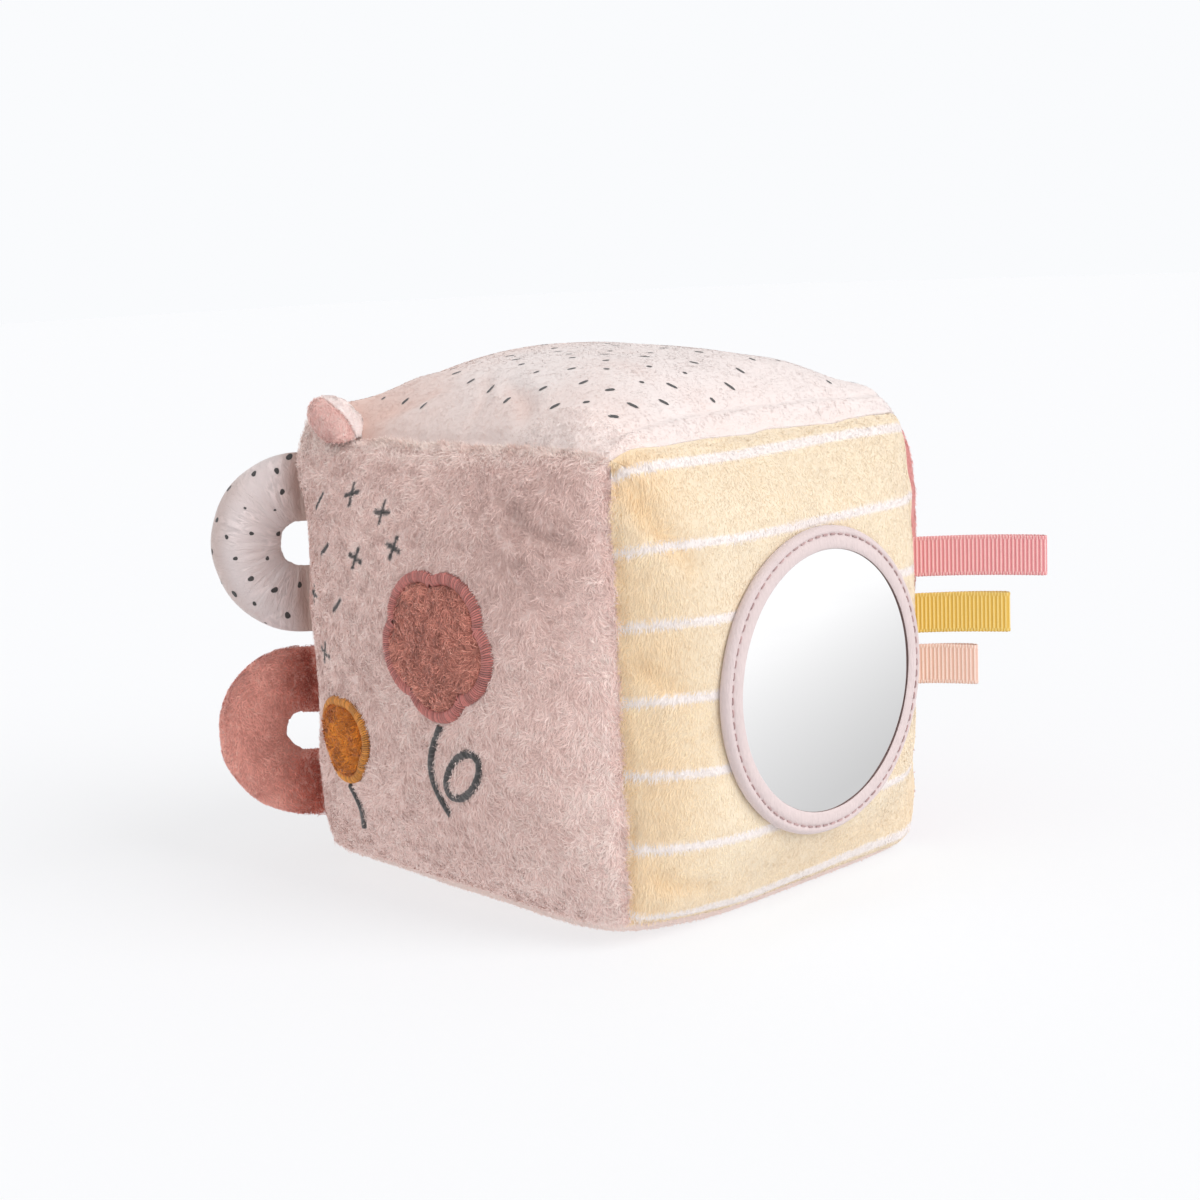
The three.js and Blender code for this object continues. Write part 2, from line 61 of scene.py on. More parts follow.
# The block, with the seams and crowns of the CAD model
HALF = 62.5  # from the middle of the block to its seams at the corners
SEAM_BOW = 2.1
SEAM_BOW_POWER = 9.5
CROWN_POWER = 3.8
BASE_SAG = 7.0
MIRROR_SEAT_HEIGHT = 17.4
CENTRE = np.array([0, 0, HALF + BASE_SAG])
SEAM_REACH = HALF + SEAM_BOW
SEAM_GAP = 0.12
PLUSH_THICKNESS = 1.2  # of the knitted ground, without its pile
PANEL_CELLS = 200
EDGE_CROWDING = 0.35  # the grid's cells shrink to about a third towards the seams

# The mirror and its ring, from the seat up
MIRROR_DROP = 4.5
RING_OUTER_RADIUS = 43.1
RING_STITCH_RADIUS = 40.5

# Handles: their tube, how it rises from the seam, and the height, span and reach of each ring
TUBE_RADIUS = 10.3
HANDLE_ROOT_HALF = 0.6
HANDLE_SWELL_LENGTH = 24.0
HANDLE_ROOT_START = 0.65
HANDLES = {
    "upper_handle": {"height": 101.7, "span": 54.6, "reach": 28.4},
    "lower_handle": {"height": 44.3, "span": 52.3, "reach": 30.0},
}

# Ribbons: height of the middle, reach from the seam, how far the end hangs down, and two colours: the
# ribbon's own and a lighter one, a painted highlight on its ribs
RIBBON_WIDTH = 12.0
RIBBON_THICKNESS = 0.45
RIBBON_FOLD_GAP = 2.2
RIB_PITCH = 1.2
RIBBONS = {
    "pink": (89.4, 39.8, 1.2, (226, 138, 142), (249, 202, 199)),
    "yellow": (72.2, 28.6, 0.8, (222, 176, 62), (248, 222, 138)),
    "peach": (56.5, 18.7, 0.9, (232, 188, 170), (250, 228, 217)),
}

# Ear
EAR_CORNER_DISTANCE = 3.5
EAR_ROOT_START = 0.3
EAR_STAND = 103.0  # degrees between the middle of the ear and straight ahead
EAR_LOBES = {
    # middle along the seam, up and to the front; half length, width and thickness; lean in degrees
    "ear_plush": {"at": (13.4, 4.0, 0.4), "half": (9.2, 5.0, 5.4), "lean": -42, "side": 1},
    "ear_lining": {"at": (13.8, 4.1, -0.4), "half": (9.4, 5.0, 7.2), "lean": -42, "side": -1},
}
EAR_PRESS = 0.7  # how softly the two pads flatten against each other

# Flower patches on the front, from the middle of the panel
FLOWER = {"right": 14.0, "up": 12.0, "radius": 18.0, "petals": 5, "notch": 0.2, "border": 3.3}
BUD = {"right": -30.0, "up": -20.0, "radius": 10.5, "petals": 3, "notch": 0.16, "border": 2.6}
NOTCH_SOFT_SHARE = 0.04
PATCH_THICKNESS = 1.6
STEM_GAP = 1.1
FLOWER_STEM = {"width": 2.2, "length": 25.0, "sway": -5.0}
BUD_STEM = {"width": 1.9, "length": 14.0, "sway": 2.5}
LEAF = {"right": 1.5, "drop": 19.0, "length": 17.0, "width": 9.0}

# White stripes of the mirror panel: share of its height where each one lies
STRIPE_TOP_SHARE = 0.93
STRIPE_PITCH_SHARE = 0.3135
STRIPES = 7
STRIPE_HALF = 1.2

# Camera, fitted to the block's corners: its turn round the block, height, tilt and distance
CAMERA_AZIMUTH = 44.86
CAMERA_ELEVATION = 9.5
CAMERA_DISTANCE = 630.9
CAMERA_ROLL = -2.48
CAMERA_LENS = 62.7
CAMERA_SIDE_STEP = -3.93
CAMERA_TARGET_HEIGHT = 80.4


# Numbers and noise


def unit(vectors):
    return vectors / np.maximum(np.linalg.norm(vectors, axis=-1, keepdims=True), 1e-12)


def smoothstep(low, high, value):
    share = np.clip((value - low) / (high - low), 0, 1)
    return share * share * (3 - 2 * share)


def bump(value, middle, width):
    return np.exp(-(((value - middle) / width) ** 2))


HASH_STEPS = np.array([127.1, 311.7, 74.7])


def lattice(cells, seed):
    """A fixed value from -1 to 1 for each whole-numbered cell."""
    wave = np.sin(cells @ HASH_STEPS[: cells.shape[-1]] + seed * 17.31) * 43758.5453
    return 2 * (wave - np.floor(wave)) - 1


def noise(points, cell, seed=0):
    """Smooth noise from -1 to 1, with features about one cell wide."""
    at = np.asarray(points, float) / cell
    base = np.floor(at)
    part = at - base
    part = part * part * (3 - 2 * part)
    total = np.zeros(at.shape[:-1])
    for corner in itertools.product((0, 1), repeat=at.shape[-1]):
        weight = np.prod(np.where(corner, part, 1 - part), axis=-1)
        total += weight * lattice(base + corner, seed)
    return total


def noise_vectors(points, cell, seed):
    return np.stack([noise(points, cell, seed + i) for i in range(3)], axis=-1)


def cubic_weights(places, count):
    """Rows of weights that read a row of evenly spaced values smoothly at places from 0 to 1."""
    at = places * (count - 1)
    base = np.clip(np.floor(at).astype(int), 0, count - 2)
    t = at - base
    parts = [
        -t / 2 + t**2 - t**3 / 2,
        1 - 5 * t**2 / 2 + 3 * t**3 / 2,
        t / 2 + 2 * t**2 - 3 * t**3 / 2,
        -(t**2) / 2 + t**3 / 2,
    ]
    weights = np.zeros((len(places), count))
    for step, part in zip((-1, 0, 1, 2), parts):
        np.add.at(weights, (np.arange(len(places)), np.clip(base + step, 0, count - 1)), part)
    return weights


# Meshes


def add_mesh(name, points, faces, materials, shades=None, smooth=True):
    """A new object from points in millimetres and arrays of triangles or quads."""
    faces = [np.asarray(part, np.int32) for part in faces if len(part)]
    loops = np.concatenate([part.ravel() for part in faces])
    sizes = np.concatenate([np.full(len(part), part.shape[1], np.int32) for part in faces])
    mesh = bpy.data.meshes.new(name)
    mesh.vertices.add(len(points))
    mesh.vertices.foreach_set("co", (np.asarray(points) * MM).astype(np.float32).ravel())
    mesh.loops.add(len(loops))
    mesh.loops.foreach_set("vertex_index", loops)
    mesh.polygons.add(len(sizes))
    mesh.polygons.foreach_set("loop_start", np.concatenate([[0], np.cumsum(sizes)[:-1]]).astype(np.int32))
    mesh.polygons.foreach_set("use_smooth", np.full(len(sizes), smooth))
    for material in materials:
        mesh.materials.append(material)
    if shades is not None:
        mesh.polygons.foreach_set("material_index", np.asarray(shades, np.int32))
    mesh.update(calc_edges=True)
    mesh.validate()
    piece = bpy.data.objects.new(name, mesh)
    bpy.context.scene.collection.objects.link(piece)
    return piece


def grid_quads(rows, columns, start=0, turned=False, wrap=False):
    """Quads of a grid of points. Rows follow each other to the right, and each row runs up."""
    i, j = np.meshgrid(np.arange(rows - (not wrap)), np.arange(columns - 1), indexing="ij")
    low, high = (i % rows) * columns, ((i + 1) % rows) * columns
    quads = np.stack([low + j, high + j, high + j + 1, low + j + 1], axis=-1).reshape(-1, 4)
    return start + (quads[:, ::-1] if turned else quads)


def ring_quads(rings, sides, start=0, closed=False):
    """Quads between rings of points that follow each other along a tube."""
    i, k = np.meshgrid(np.arange(rings - (not closed)), np.arange(sides), indexing="ij")
    low, high = (i % rings) * sides, ((i + 1) % rings) * sides
    after = (k + 1) % sides
    return start + np.stack([low + k, low + after, high + after, high + k], axis=-1).reshape(-1, 4)


def fan(middle, first, sides, turned=False):
    """Triangles between one point and a ring of points. Both are given by number."""
    k = np.arange(sides)
    ring = [first + k, first + (k + 1) % sides]
    return np.stack([np.full(sides, middle), *(ring[::-1] if turned else ring)], axis=-1)


def tubes(paths, radius, sides, reference):
    """Points, quads and cap triangles of round threads along many paths of equal length."""
    paths = np.asarray(paths, float)
    many, steps = paths.shape[:2]
    travel = unit(np.gradient(paths, axis=1))
    side = unit(np.cross(travel, np.broadcast_to(reference, paths.shape)))
    up = np.cross(side, travel)
    turn = np.arange(sides) * TAU / sides
    radius = np.broadcast_to(radius, (many, steps))[..., None, None]
    rings = paths[:, :, None] + radius * (
        np.cos(turn)[:, None] * side[:, :, None] + np.sin(turn)[:, None] * up[:, :, None]
    )
    size = steps * sides + 2
    points = np.concatenate([rings.reshape(many, -1, 3), paths[:, :1], paths[:, -1:]], axis=1)
    quads = ring_quads(steps, sides)[:, ::-1]
    caps = np.concatenate([fan(size - 2, 0, sides), fan(size - 1, (steps - 1) * sides, sides, turned=True)])
    starts = (np.arange(many) * size)[:, None, None]
    return points.reshape(-1, 3), (starts + quads).reshape(-1, 4), (starts + caps).reshape(-1, 3)


class Surface:
    """A fine grid of points in millimetres that can be read between its points."""

    def __init__(self, points):
        self.points = points
        across, along = np.gradient(points, axis=0), np.gradient(points, axis=1)
        normals = np.cross(across, along)
        self.areas = np.linalg.norm(normals, axis=-1)
        self.normals = unit(normals)

    @staticmethod
    def read(values, i, j):
        rows, columns = values.shape[:2]
        low_i = np.clip(np.floor(i).astype(int), 0, rows - 2)
        low_j = np.clip(np.floor(j).astype(int), 0, columns - 2)
        s, t = (i - low_i)[..., None], (j - low_j)[..., None]
        low = values[low_i, low_j] * (1 - t) + values[low_i, low_j + 1] * t
        high = values[low_i + 1, low_j] * (1 - t) + values[low_i + 1, low_j + 1] * t
        return low * (1 - s) + high * s

    def at(self, i, j):
        """Points and normals at places given in steps of the grid."""
        i, j = np.broadcast_arrays(np.asarray(i, float), np.asarray(j, float))
        return self.read(self.points, i, j), unit(self.read(self.normals, i, j))

    def scatter(self, count, random):
        """Places spread evenly over the area."""
        areas = self.areas[:-1, :-1]
        total = np.cumsum(areas.ravel())
        chosen = np.searchsorted(total, random.random(count) * total[-1])
        chosen = np.minimum(chosen, areas.size - 1)
        i, j = np.unravel_index(chosen, areas.shape)
        return i + random.random(count), j + random.random(count)


def seated(piece, body, slot, node=None):
    """Ties a piece to its body and to the CAD piece that it replaces, which it hides. slot, its finish and
    its filling, is not used.
    """
    if body:
        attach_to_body(piece, body)
    if node:
        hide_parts(node)
    return piece


def attach(piece, name, values):
    """Gives a mesh its own value at each point."""
    attribute = piece.data.attributes.new(name, "FLOAT", "POINT")
    attribute.data.foreach_set("value", np.asarray(values).ravel().astype(np.float32))


# Materials


def linear(colour):
    """Linear light from a screen colour of 0 to 255."""
    return [((c / 255 + 0.055) / 1.055) ** 2.4 if c > 10 else c / 3294.6 for c in colour]


class Nodes:
    """A new material and short ways to add nodes to it."""

    def __init__(self, name, colour, roughness, sheen=0.0, metallic=0.0, coat=0.0, specular=0.5):
        self.material = bpy.data.materials.new(name)
        self.material.use_nodes = True
        self.tree = self.material.node_tree
        self.shader = self.tree.nodes["Principled BSDF"]
        settings = {
            "Base Color": (*linear(colour), 1), "Roughness": roughness, "Metallic": metallic,
            "Sheen Weight": sheen, "Sheen Roughness": 0.5, "Coat Weight": coat,
            "Specular IOR Level": specular,
        }
        for socket, value in settings.items():
            self.shader.inputs[socket].default_value = value

    def add(self, kind, links=None, **settings):
        node = self.tree.nodes.new(kind)
        for key, value in settings.items():
            if hasattr(node, key):
                setattr(node, key, value)
            else:
                node.inputs[key.replace("_", " ").title()].default_value = value
        for socket, source in (links or {}).items():
            self.tree.links.new(source, node.inputs[socket])
        return node

    def place(self, stretch=(1, 1, 1)):
        """Coordinates in millimetres, stretched along each axis."""
        coordinates = self.add("ShaderNodeTexCoord")
        mapping = self.add("ShaderNodeMapping", {"Vector": coordinates.outputs["Object"]})
        mapping.inputs["Scale"].default_value = [s / MM for s in stretch]
        return mapping.outputs["Vector"]

    def noise(self, size, detail=2.0, stretch=(1, 1, 1)):
        """Noise with features about size millimetres wide."""
        links = {"Vector": self.place(stretch)}
        return self.add("ShaderNodeTexNoise", links, Scale=1 / size, Detail=detail).outputs["Fac"]

    def mix(self, share, first, second):
        """Blends two colours, each a screen colour or a socket, by a socket or a number."""
        node = self.add("ShaderNodeMix", data_type="RGBA")
        sockets = (node.inputs["Factor"], node.inputs[6], node.inputs[7])
        for socket, value in zip(sockets, (share, first, second)):
            if isinstance(value, bpy.types.NodeSocket):
                self.tree.links.new(value, socket)
            else:
                socket.default_value = value if isinstance(value, float) else (*linear(value), 1)
        return node.outputs[2]

    def share(self, socket, low, high, most=1.0, kind="SMOOTHSTEP"):
        """A share that runs from 0 to most as the socket runs from low to high."""
        node = self.add("ShaderNodeMapRange", {"Value": socket}, interpolation_type=kind)
        for side, value in (("From Min", low), ("From Max", high), ("To Max", most)):
            node.inputs[side].default_value = value
        return node.outputs["Result"]

    def value(self, attribute):
        """One of the mesh's own values."""
        return self.add("ShaderNodeAttribute", attribute_name=attribute).outputs["Fac"]

    def tinted(self, socket, attribute, colour):
        """Blends to a colour by one of the mesh's own values."""
        return socket if colour is None else self.mix(self.value(attribute), socket, colour)

    def clouds(self, socket, colour, contrast):
        """From the darker to the lighter side of a colour, by a socket."""
        return self.mix(socket, shaded(colour, -contrast), shaded(colour, contrast))

    def colour(self, socket):
        self.tree.links.new(socket, self.shader.inputs["Base Color"])

    def relief(self, height, depth, strength=1.0):
        """Raises the surface by height, where 1 stands for depth in millimetres."""
        links = {"Height": height}
        node = self.add("ShaderNodeBump", links, Strength=strength, Distance=depth * MM)
        previous = self.shader.inputs["Normal"].links
        if previous:
            self.tree.links.new(previous[0].from_socket, node.inputs["Normal"])
        self.tree.links.new(node.outputs["Normal"], self.shader.inputs["Normal"])


def shaded(colour, share):
    return tuple(min(255, c * (1 + share)) for c in colour)


DARK_WEIGHTS = (0.85, 1.08, 1.14)  # how much of a change each channel takes
LIGHT_WEIGHTS = (0.85, 1.0, 1.04)
BRIGHTEST = 253


def toned(colour, share, hold=0.0):
    """A colour made darker and warmer, or lighter and paler; the darker ones take the warmer hue of shade
    between fibres, a painted shade. hold keeps its hue where red is at its most.
    """
    weights = DARK_WEIGHTS if share < 0 else LIGHT_WEIGHTS
    values = [c * (1 + share * weight) for c, weight in zip(colour, weights)]
    over = max(1, max(values) / BRIGHTEST) ** hold
    return tuple(min(BRIGHTEST, value / over) for value in values)


def pile_materials(name, colour, contrast, steps=5, extra=(), hold=0.0):
    """Plain finishes from dark to light for the fibres of a pile, and one for each extra colour."""
    shares = np.linspace(-contrast, contrast, steps)
    colours = [toned(colour, share, hold) for share in shares] + list(extra)
    return [
        Nodes(f"{name}_fibre_{i}", c, 0.85, sheen=0.35, specular=0.25).material
        for i, c in enumerate(colours)
    ]


def graded_pile(name, colour, painted_shade, contrast, steps=5, families=6, extra=()):
    """Sets of pile finishes that run from one colour to a warmer one, its colour in painted shade."""
    sets = []
    for family in range(families):
        share = family / (families - 1)
        mixed = tuple(a + (b - a) * share for a, b in zip(colour, painted_shade))
        sets += pile_materials(f"{name}_{family}", mixed, contrast, steps)
    return sets + pile_materials(f"{name}_print", colour, 0, 0, extra)


def graded(tone, painted_shade, random, steps=5, families=6):
    """Finish of each fibre from its tone and its share of painted shade."""
    family = np.floor(np.clip(painted_shade, 0, 1) * (families - 1) + random.random(len(tone)))
    return (np.minimum(family, families - 1) * steps + tone).astype(int)


def ground_material(name, colour, contrast=0.06, paint=None, painted_shade=None):
    """The knitted ground under a pile, with short fibres as a fine relief. It can take a warmer colour as
    painted shade, and print, from the mesh's own values.
    """
    nodes = Nodes(name, colour, 0.95, sheen=0.3, specular=0.2)
    patches = nodes.tinted(nodes.clouds(nodes.noise(9.0), colour, contrast), "painted_shade", painted_shade)
    nodes.colour(nodes.tinted(patches, "paint", paint))
    nodes.relief(nodes.noise(0.45, 3.0, (1, 1, 0.45)), 0.2)
    return nodes.material


def smooth_plush_material(name, colour, contrast=0.03, painted_shade=None):
    """Very short, smooth pile: soft clouds of tone and a fine brushed relief. From the mesh's own values it
    can take a warmer colour as painted shade and a paler painted highlight.
    """
    nodes = Nodes(name, colour, 0.9, sheen=0.35, specular=0.2)
    clouds = nodes.clouds(nodes.noise(14.0, 3.0), colour, contrast)
    brushed = nodes.mix(nodes.noise(0.9, 2.0, (1, 0.35, 1)), clouds, shaded(colour, -contrast))
    tinted = nodes.tinted(brushed, "painted_shade", painted_shade)
    nodes.colour(nodes.tinted(tinted, "bright", painted_shade and PAINTED_HIGHLIGHT_CREAM))
    nodes.relief(nodes.noise(0.6, 4.0, (1, 0.4, 1)), 0.18)
    nodes.relief(nodes.noise(3.5, 2.0), 0.5, 0.6)
    return nodes.material


def jersey_material(name, colour, painted_shade):
    """Silky jersey with creases across the ring, painted darker in the creases and lighter on their ridges as
    painted shade and highlight, and a warmer painted shade from the mesh's own value. The mesh says how far
    along and round it a point lies.
    """
    nodes = Nodes(name, colour, 0.42, sheen=0.4, specular=0.5)
    along, around = nodes.value("ring_along"), nodes.value("ring_around")
    place = {"Vector": nodes.add("ShaderNodeCombineXYZ", {"X": along, "Y": around}).outputs["Vector"]}
    creases = nodes.add("ShaderNodeTexNoise", place, Scale=0.5, Detail=3.5, Distortion=1.2).outputs["Fac"]
    # Painted shade in the creases and painted highlight on their ridges, in patches over the handle.
    streaks = nodes.mix(nodes.share(creases, 0.3, 0.75), shaded(colour, -0.05), shaded(colour, 0.1))
    folds = nodes.mix(nodes.share(nodes.noise(7.0, 1.0), 0.42, 0.6), colour, streaks)
    nodes.colour(nodes.tinted(folds, "painted_shade", painted_shade))
    nodes.relief(nodes.noise(0.35, 2.0, (1, 1, 0.3)), 0.06)
    nodes.relief(creases, 0.5)
    return nodes.material


def woven_material(name, colour, contrast=0.05, grain=0.3, depth=0.06, roughness=0.65, sheen=0.2):
    """Fine threads: streaks across and along, and a fine relief."""
    nodes = Nodes(name, colour, roughness, sheen=sheen, specular=0.35)
    streaks = nodes.clouds(nodes.noise(grain, 2.0, (1, 1, 0.25)), colour, contrast)
    nodes.colour(nodes.mix(nodes.noise(6.0, 2.0), streaks, shaded(colour, -contrast / 2)))
    nodes.relief(nodes.noise(grain, 3.0, (1, 1, 0.25)), depth)
    return nodes.material


def thread_material(name, colour, contrast=0.12):
    nodes = Nodes(name, colour, 0.55, sheen=0.25, specular=0.4)
    nodes.colour(nodes.clouds(nodes.noise(0.6, 2.0), colour, contrast))
    nodes.relief(nodes.noise(0.15, 2.0), 0.04)
    return nodes.material


def fibre_material(name):
    nodes = Nodes(name, FIBRE_WHITE, 1.0, sheen=0.4, specular=0.1)
    nodes.colour(nodes.mix(nodes.noise(3.0, 4.0), FIBRE_DARK, FIBRE_LIGHT))
    nodes.relief(nodes.noise(0.8, 4.0), 0.8)
    return nodes.material


def plastic_material(name, colour, roughness):
    nodes = Nodes(name, colour, roughness)
    nodes.colour(nodes.clouds(nodes.noise(5.0, 2.0), colour, 0.02))
    nodes.relief(nodes.noise(0.4, 2.0), 0.01)
    return nodes.material


# Colours as lit from the front by white light
DUSTY_PINK = (247, 220, 213)
# a lighter pink, a painted highlight on the crests of the clumps and along the right edge
DUSTY_PINK_HIGHLIGHT = (251, 223, 216)
YELLOW = (249, 233, 207)
# the yellow's colour in painted shade, on the side turned from the light and in folds
PAINTED_SHADE_YELLOW = (245, 214, 170)
STRIPE_WHITE = (243, 235, 232)
CORAL = (226, 150, 146)
PEACH = (236, 202, 184)
PALE_PINK = (237, 226, 223)
# a painted highlight on the fold of the top panel at the near corner
PAINTED_HIGHLIGHT_CREAM = (255, 243, 239)
# the top's colour in painted shade, on its left and front side and in folds
PAINTED_SHADE_PINK = (226, 192, 180)
BASE_PINK = (243, 219, 210)
ROSE = (244, 174, 160)
PATCH_ROSE = (206, 138, 122)
OCHRE = (209, 125, 40)
EAR_PINK = (255, 215, 208)
EAR_SATIN = (255, 240, 237)
# a painted highlight along the front's top edge
TOP_FRINGE_HIGHLIGHT = (255, 234, 227)
# the rose pile's colour in painted shade beside the block
PAINTED_SHADE_ROSE = (186, 94, 78)
ROSE_THREAD = (188, 116, 109)
OCHRE_THREAD = (212, 140, 52)
RING_FABRIC = (219, 202, 201)
# the ring's low inner wall, painted dark as a painted shade
RING_INNER_PAINTED_SHADE = (128, 104, 100)
RING_THREAD = (180, 147, 146)
MIRROR_SILVER = (251, 251, 252)
FELT = (217, 213, 207)
RATTLE_WHITE = (243, 239, 230)
BALL_YELLOW = (231, 179, 78)
FIBRE_DARK, FIBRE_WHITE, FIBRE_LIGHT = (225, 224, 219), (240, 239, 234), (247, 246, 242)
CHARCOAL = (74, 72, 72)
JERSEY = (216, 203, 202)
# the jersey's colour in painted shade beside the block and round its outside
PAINTED_SHADE_JERSEY = (186, 155, 144)


# Panels of the block. Seen from outside, each has a direction to the right and one up.

PANELS = {
    "front": {"right": X_AXIS, "up": Z_AXIS, "out": -Y_AXIS, "crown": 18.5},
    "mirror": {"right": Y_AXIS, "up": Z_AXIS, "out": X_AXIS, "crown": 19.6, "flat": MIRROR_SEAT_HEIGHT},
    "ribbon": {"right": -X_AXIS, "up": Z_AXIS, "out": Y_AXIS, "crown": 18.5},
    "handle": {"right": -Y_AXIS, "up": Z_AXIS, "out": -X_AXIS, "crown": 18.5},
    "top": {"right": X_AXIS, "up": Y_AXIS, "out": Z_AXIS, "crown": 22.0},
    "base": {"right": X_AXIS, "up": -Y_AXIS, "out": -Z_AXIS, "crown": 14.0, "flat": BASE_SAG},
}
FLAT_SOFTNESS = 0.5


def panel_form(panel, across, along, inset=0.0):
    """Points of a panel, where across and along run from -1 to 1 between its seams."""
    half = HALF - inset
    bow_across = 1 - np.abs(across) ** SEAM_BOW_POWER
    bow_along = 1 - np.abs(along) ** SEAM_BOW_POWER
    dome = (1 - np.abs(across) ** CROWN_POWER) * (1 - np.abs(along) ** CROWN_POWER)
    rise = SEAM_BOW * (1 - (1 - bow_across) * (1 - bow_along)) + panel["crown"] * dome
    if "flat" in panel:
        rise = -FLAT_SOFTNESS * np.logaddexp(-rise / FLAT_SOFTNESS, -panel["flat"] / FLAT_SOFTNESS)
    drawn_in = 1 - SEAM_GAP / half
    return (
        CENTRE
        + (drawn_in * across * (half + SEAM_BOW * bow_along))[..., None] * panel["right"]
        + (drawn_in * along * (half + SEAM_BOW * bow_across))[..., None] * panel["up"]
        + (half + rise)[..., None] * panel["out"]
    )


def from_seams(across, along):
    """Distance to the nearest seam."""
    return (1 - np.maximum(np.abs(across), np.abs(along))) * HALF


def crowded(share):
    """Moves evenly spaced places from -1 to 1 towards both ends."""
    return (1 + EDGE_CROWDING) * share - EDGE_CROWDING * share**3


PANEL_STEPS = np.arange(PANEL_CELLS + 1)
PANEL_SHARES = crowded(np.linspace(-1, 1, PANEL_CELLS + 1))  # where each step lies between the seams


def outward(panel, across, along):
    """The direction in which a panel bulges: straight out in the middle, halfway at a seam."""
    lean = np.sign(across) * np.abs(across) ** 6, np.sign(along) * np.abs(along) ** 6
    return unit(panel["out"] + lean[0][..., None] * panel["right"] + lean[1][..., None] * panel["up"])


# Cloth: the six panels are sewn together, filled, and let go with a little spare cloth

CLOTH_CELLS = 40
CLOTH_FRAMES = 16
CLOTH_CAP = 2.0  # most that a point may move
CLOTH_SPARE_SHARE = 0.035
CLOTH = {
    "quality": 6, "mass": 0.2, "tension_stiffness": 15, "compression_stiffness": 15, "shear_stiffness": 5,
    "bending_stiffness": 0.3, "use_pressure": True, "uniform_pressure_force": 3,
    "vertex_group_mass": "held", "pin_stiffness": 0.6,
    "vertex_group_shrink": "spare", "shrink_min": 0, "shrink_max": -CLOTH_SPARE_SHARE,
}


def sewn_shell(cells):
    """Welded points and quads of all six panels, and each panel's grid of point numbers."""
    steps = np.linspace(-1, 1, cells + 1)
    across, along = np.meshgrid(steps, steps, indexing="ij")
    grids = {name: panel_form(panel, across, along) for name, panel in PANELS.items()}
    stacked = np.concatenate([grid.reshape(-1, 3) for grid in grids.values()])
    _, first, where = np.unique(
        np.round(stacked / (4 * SEAM_GAP)), axis=0, return_index=True, return_inverse=True
    )
    where = where.ravel()
    size = (cells + 1) ** 2
    quads = np.concatenate([grid_quads(cells + 1, cells + 1, start=k * size) for k in range(len(grids))])
    numbers = {name: where[k * size:(k + 1) * size].reshape(cells + 1, -1) for k, name in enumerate(grids)}
    return stacked[first], where[quads], numbers


def simulate_cloth():
    """How far each point of each panel moves when the filled block settles."""
    points, quads, numbers = sewn_shell(CLOTH_CELLS)
    shell = add_mesh("cloth_shell", points, [quads], [])
    from_middle = np.abs(points - CENTRE)
    ordered = np.sort(from_middle, axis=1)
    near_seam = smoothstep(HALF - 14, HALF, ordered[:, 1])
    near_corner = smoothstep(HALF - 30, HALF, ordered[:, 0])
    held = shell.vertex_groups.new(name="held")
    spare = shell.vertex_groups.new(name="spare")
    for index in range(len(points)):
        held.add([index], float(0.25 + 0.6 * near_seam[index] * (ordered[index, 1] > HALF - 2)), "REPLACE")
        spare.add([index], float(0.35 + 0.65 * max(near_seam[index], near_corner[index])), "REPLACE")
    modifier = shell.modifiers.new("Cloth", "CLOTH")
    for setting, value in CLOTH.items():
        setattr(modifier.settings, setting, value)
    modifier.settings.effector_weights.gravity = 0
    modifier.collision_settings.use_collision = False
    scene = bpy.context.scene
    for step in range(1, CLOTH_FRAMES + 1):
        scene.frame_set(step)
    settled = shell.evaluated_get(bpy.context.evaluated_depsgraph_get()).to_mesh()
    after = np.zeros(len(points) * 3, np.float32)
    settled.vertices.foreach_get("co", after)
    moves = after.reshape(-1, 3) / MM - points
    sizes = np.linalg.norm(moves, axis=1, keepdims=True)
    moves = moves * np.minimum(1, CLOTH_CAP / np.maximum(sizes, 1e-6))
    bpy.data.objects.remove(shell)
    scene.frame_set(1)
    return {name: moves[grid] for name, grid in numbers.items()}


# Relief on top of the simulated shape

GROOVE_DEPTH = 0.9
GROOVE_WIDTH = 1.7
PUCKER_DEPTH = 0.7
PUCKER_LENGTH = 8.0
PUCKER_REACH = 4.5
CORNER_FOLDS = {
    # panel: sign across, sign along, depth of the folds, reach of the folds
    "front": (1, 1, 0.5, 9.0),
    "mirror": (-1, 1, 0.7, 10.0),
}
ALLOWANCE_WIDTH = 4.4  # of the seam allowance that shows as a ridge through the top panel
ALLOWANCE_HEIGHT = 0.6
NOTCH_SHARE = -0.5  # where the allowance is snipped, as a share of the seam
INNER_REACH = 16.0  # from the seams, where a panel becomes free to bulge
TOP_LUMPS = [
    # across, along, height, width as a share of the panel
    (-0.85, -0.84, 2.7, 0.14), (-0.55, -0.5, -0.6, 0.16), (-0.3, 0.12, 0.6, 0.3),
    (0.42, 0.46, -1.9, 0.2), (0.86, 0.86, 2.6, 0.12), (0.74, -0.88, 1.5, 0.13),
]
FOLDS = {
    # from and to in millimetres to the right and up, depth, width
    "front": [
        ((33, 53), (58, 37), 1.1, 2.6), ((20, 58), (34, 44), 0.5, 3.0), ((-52, -20), (-36, -34), 0.5, 4.0),
    ],
    "mirror": [
        ((-60, 56), (-48, 30), 0.8, 3.0), ((-62, 12), (-50, -4), 0.5, 3.0),
        ((-60, -48), (-38, -58), 0.7, 3.0),
    ],
    "top": [
        ((30, -60), (6, -44), 0.8, 2.6), ((-34, -58), (-10, -50), 0.7, 2.6), ((46, -30), (20, -22), 0.5, 4.0),
        ((-44, -30), (-20, -36), 0.5, 3.5), ((8, -60), (-4, -40), 0.5, 2.2),
    ],
}


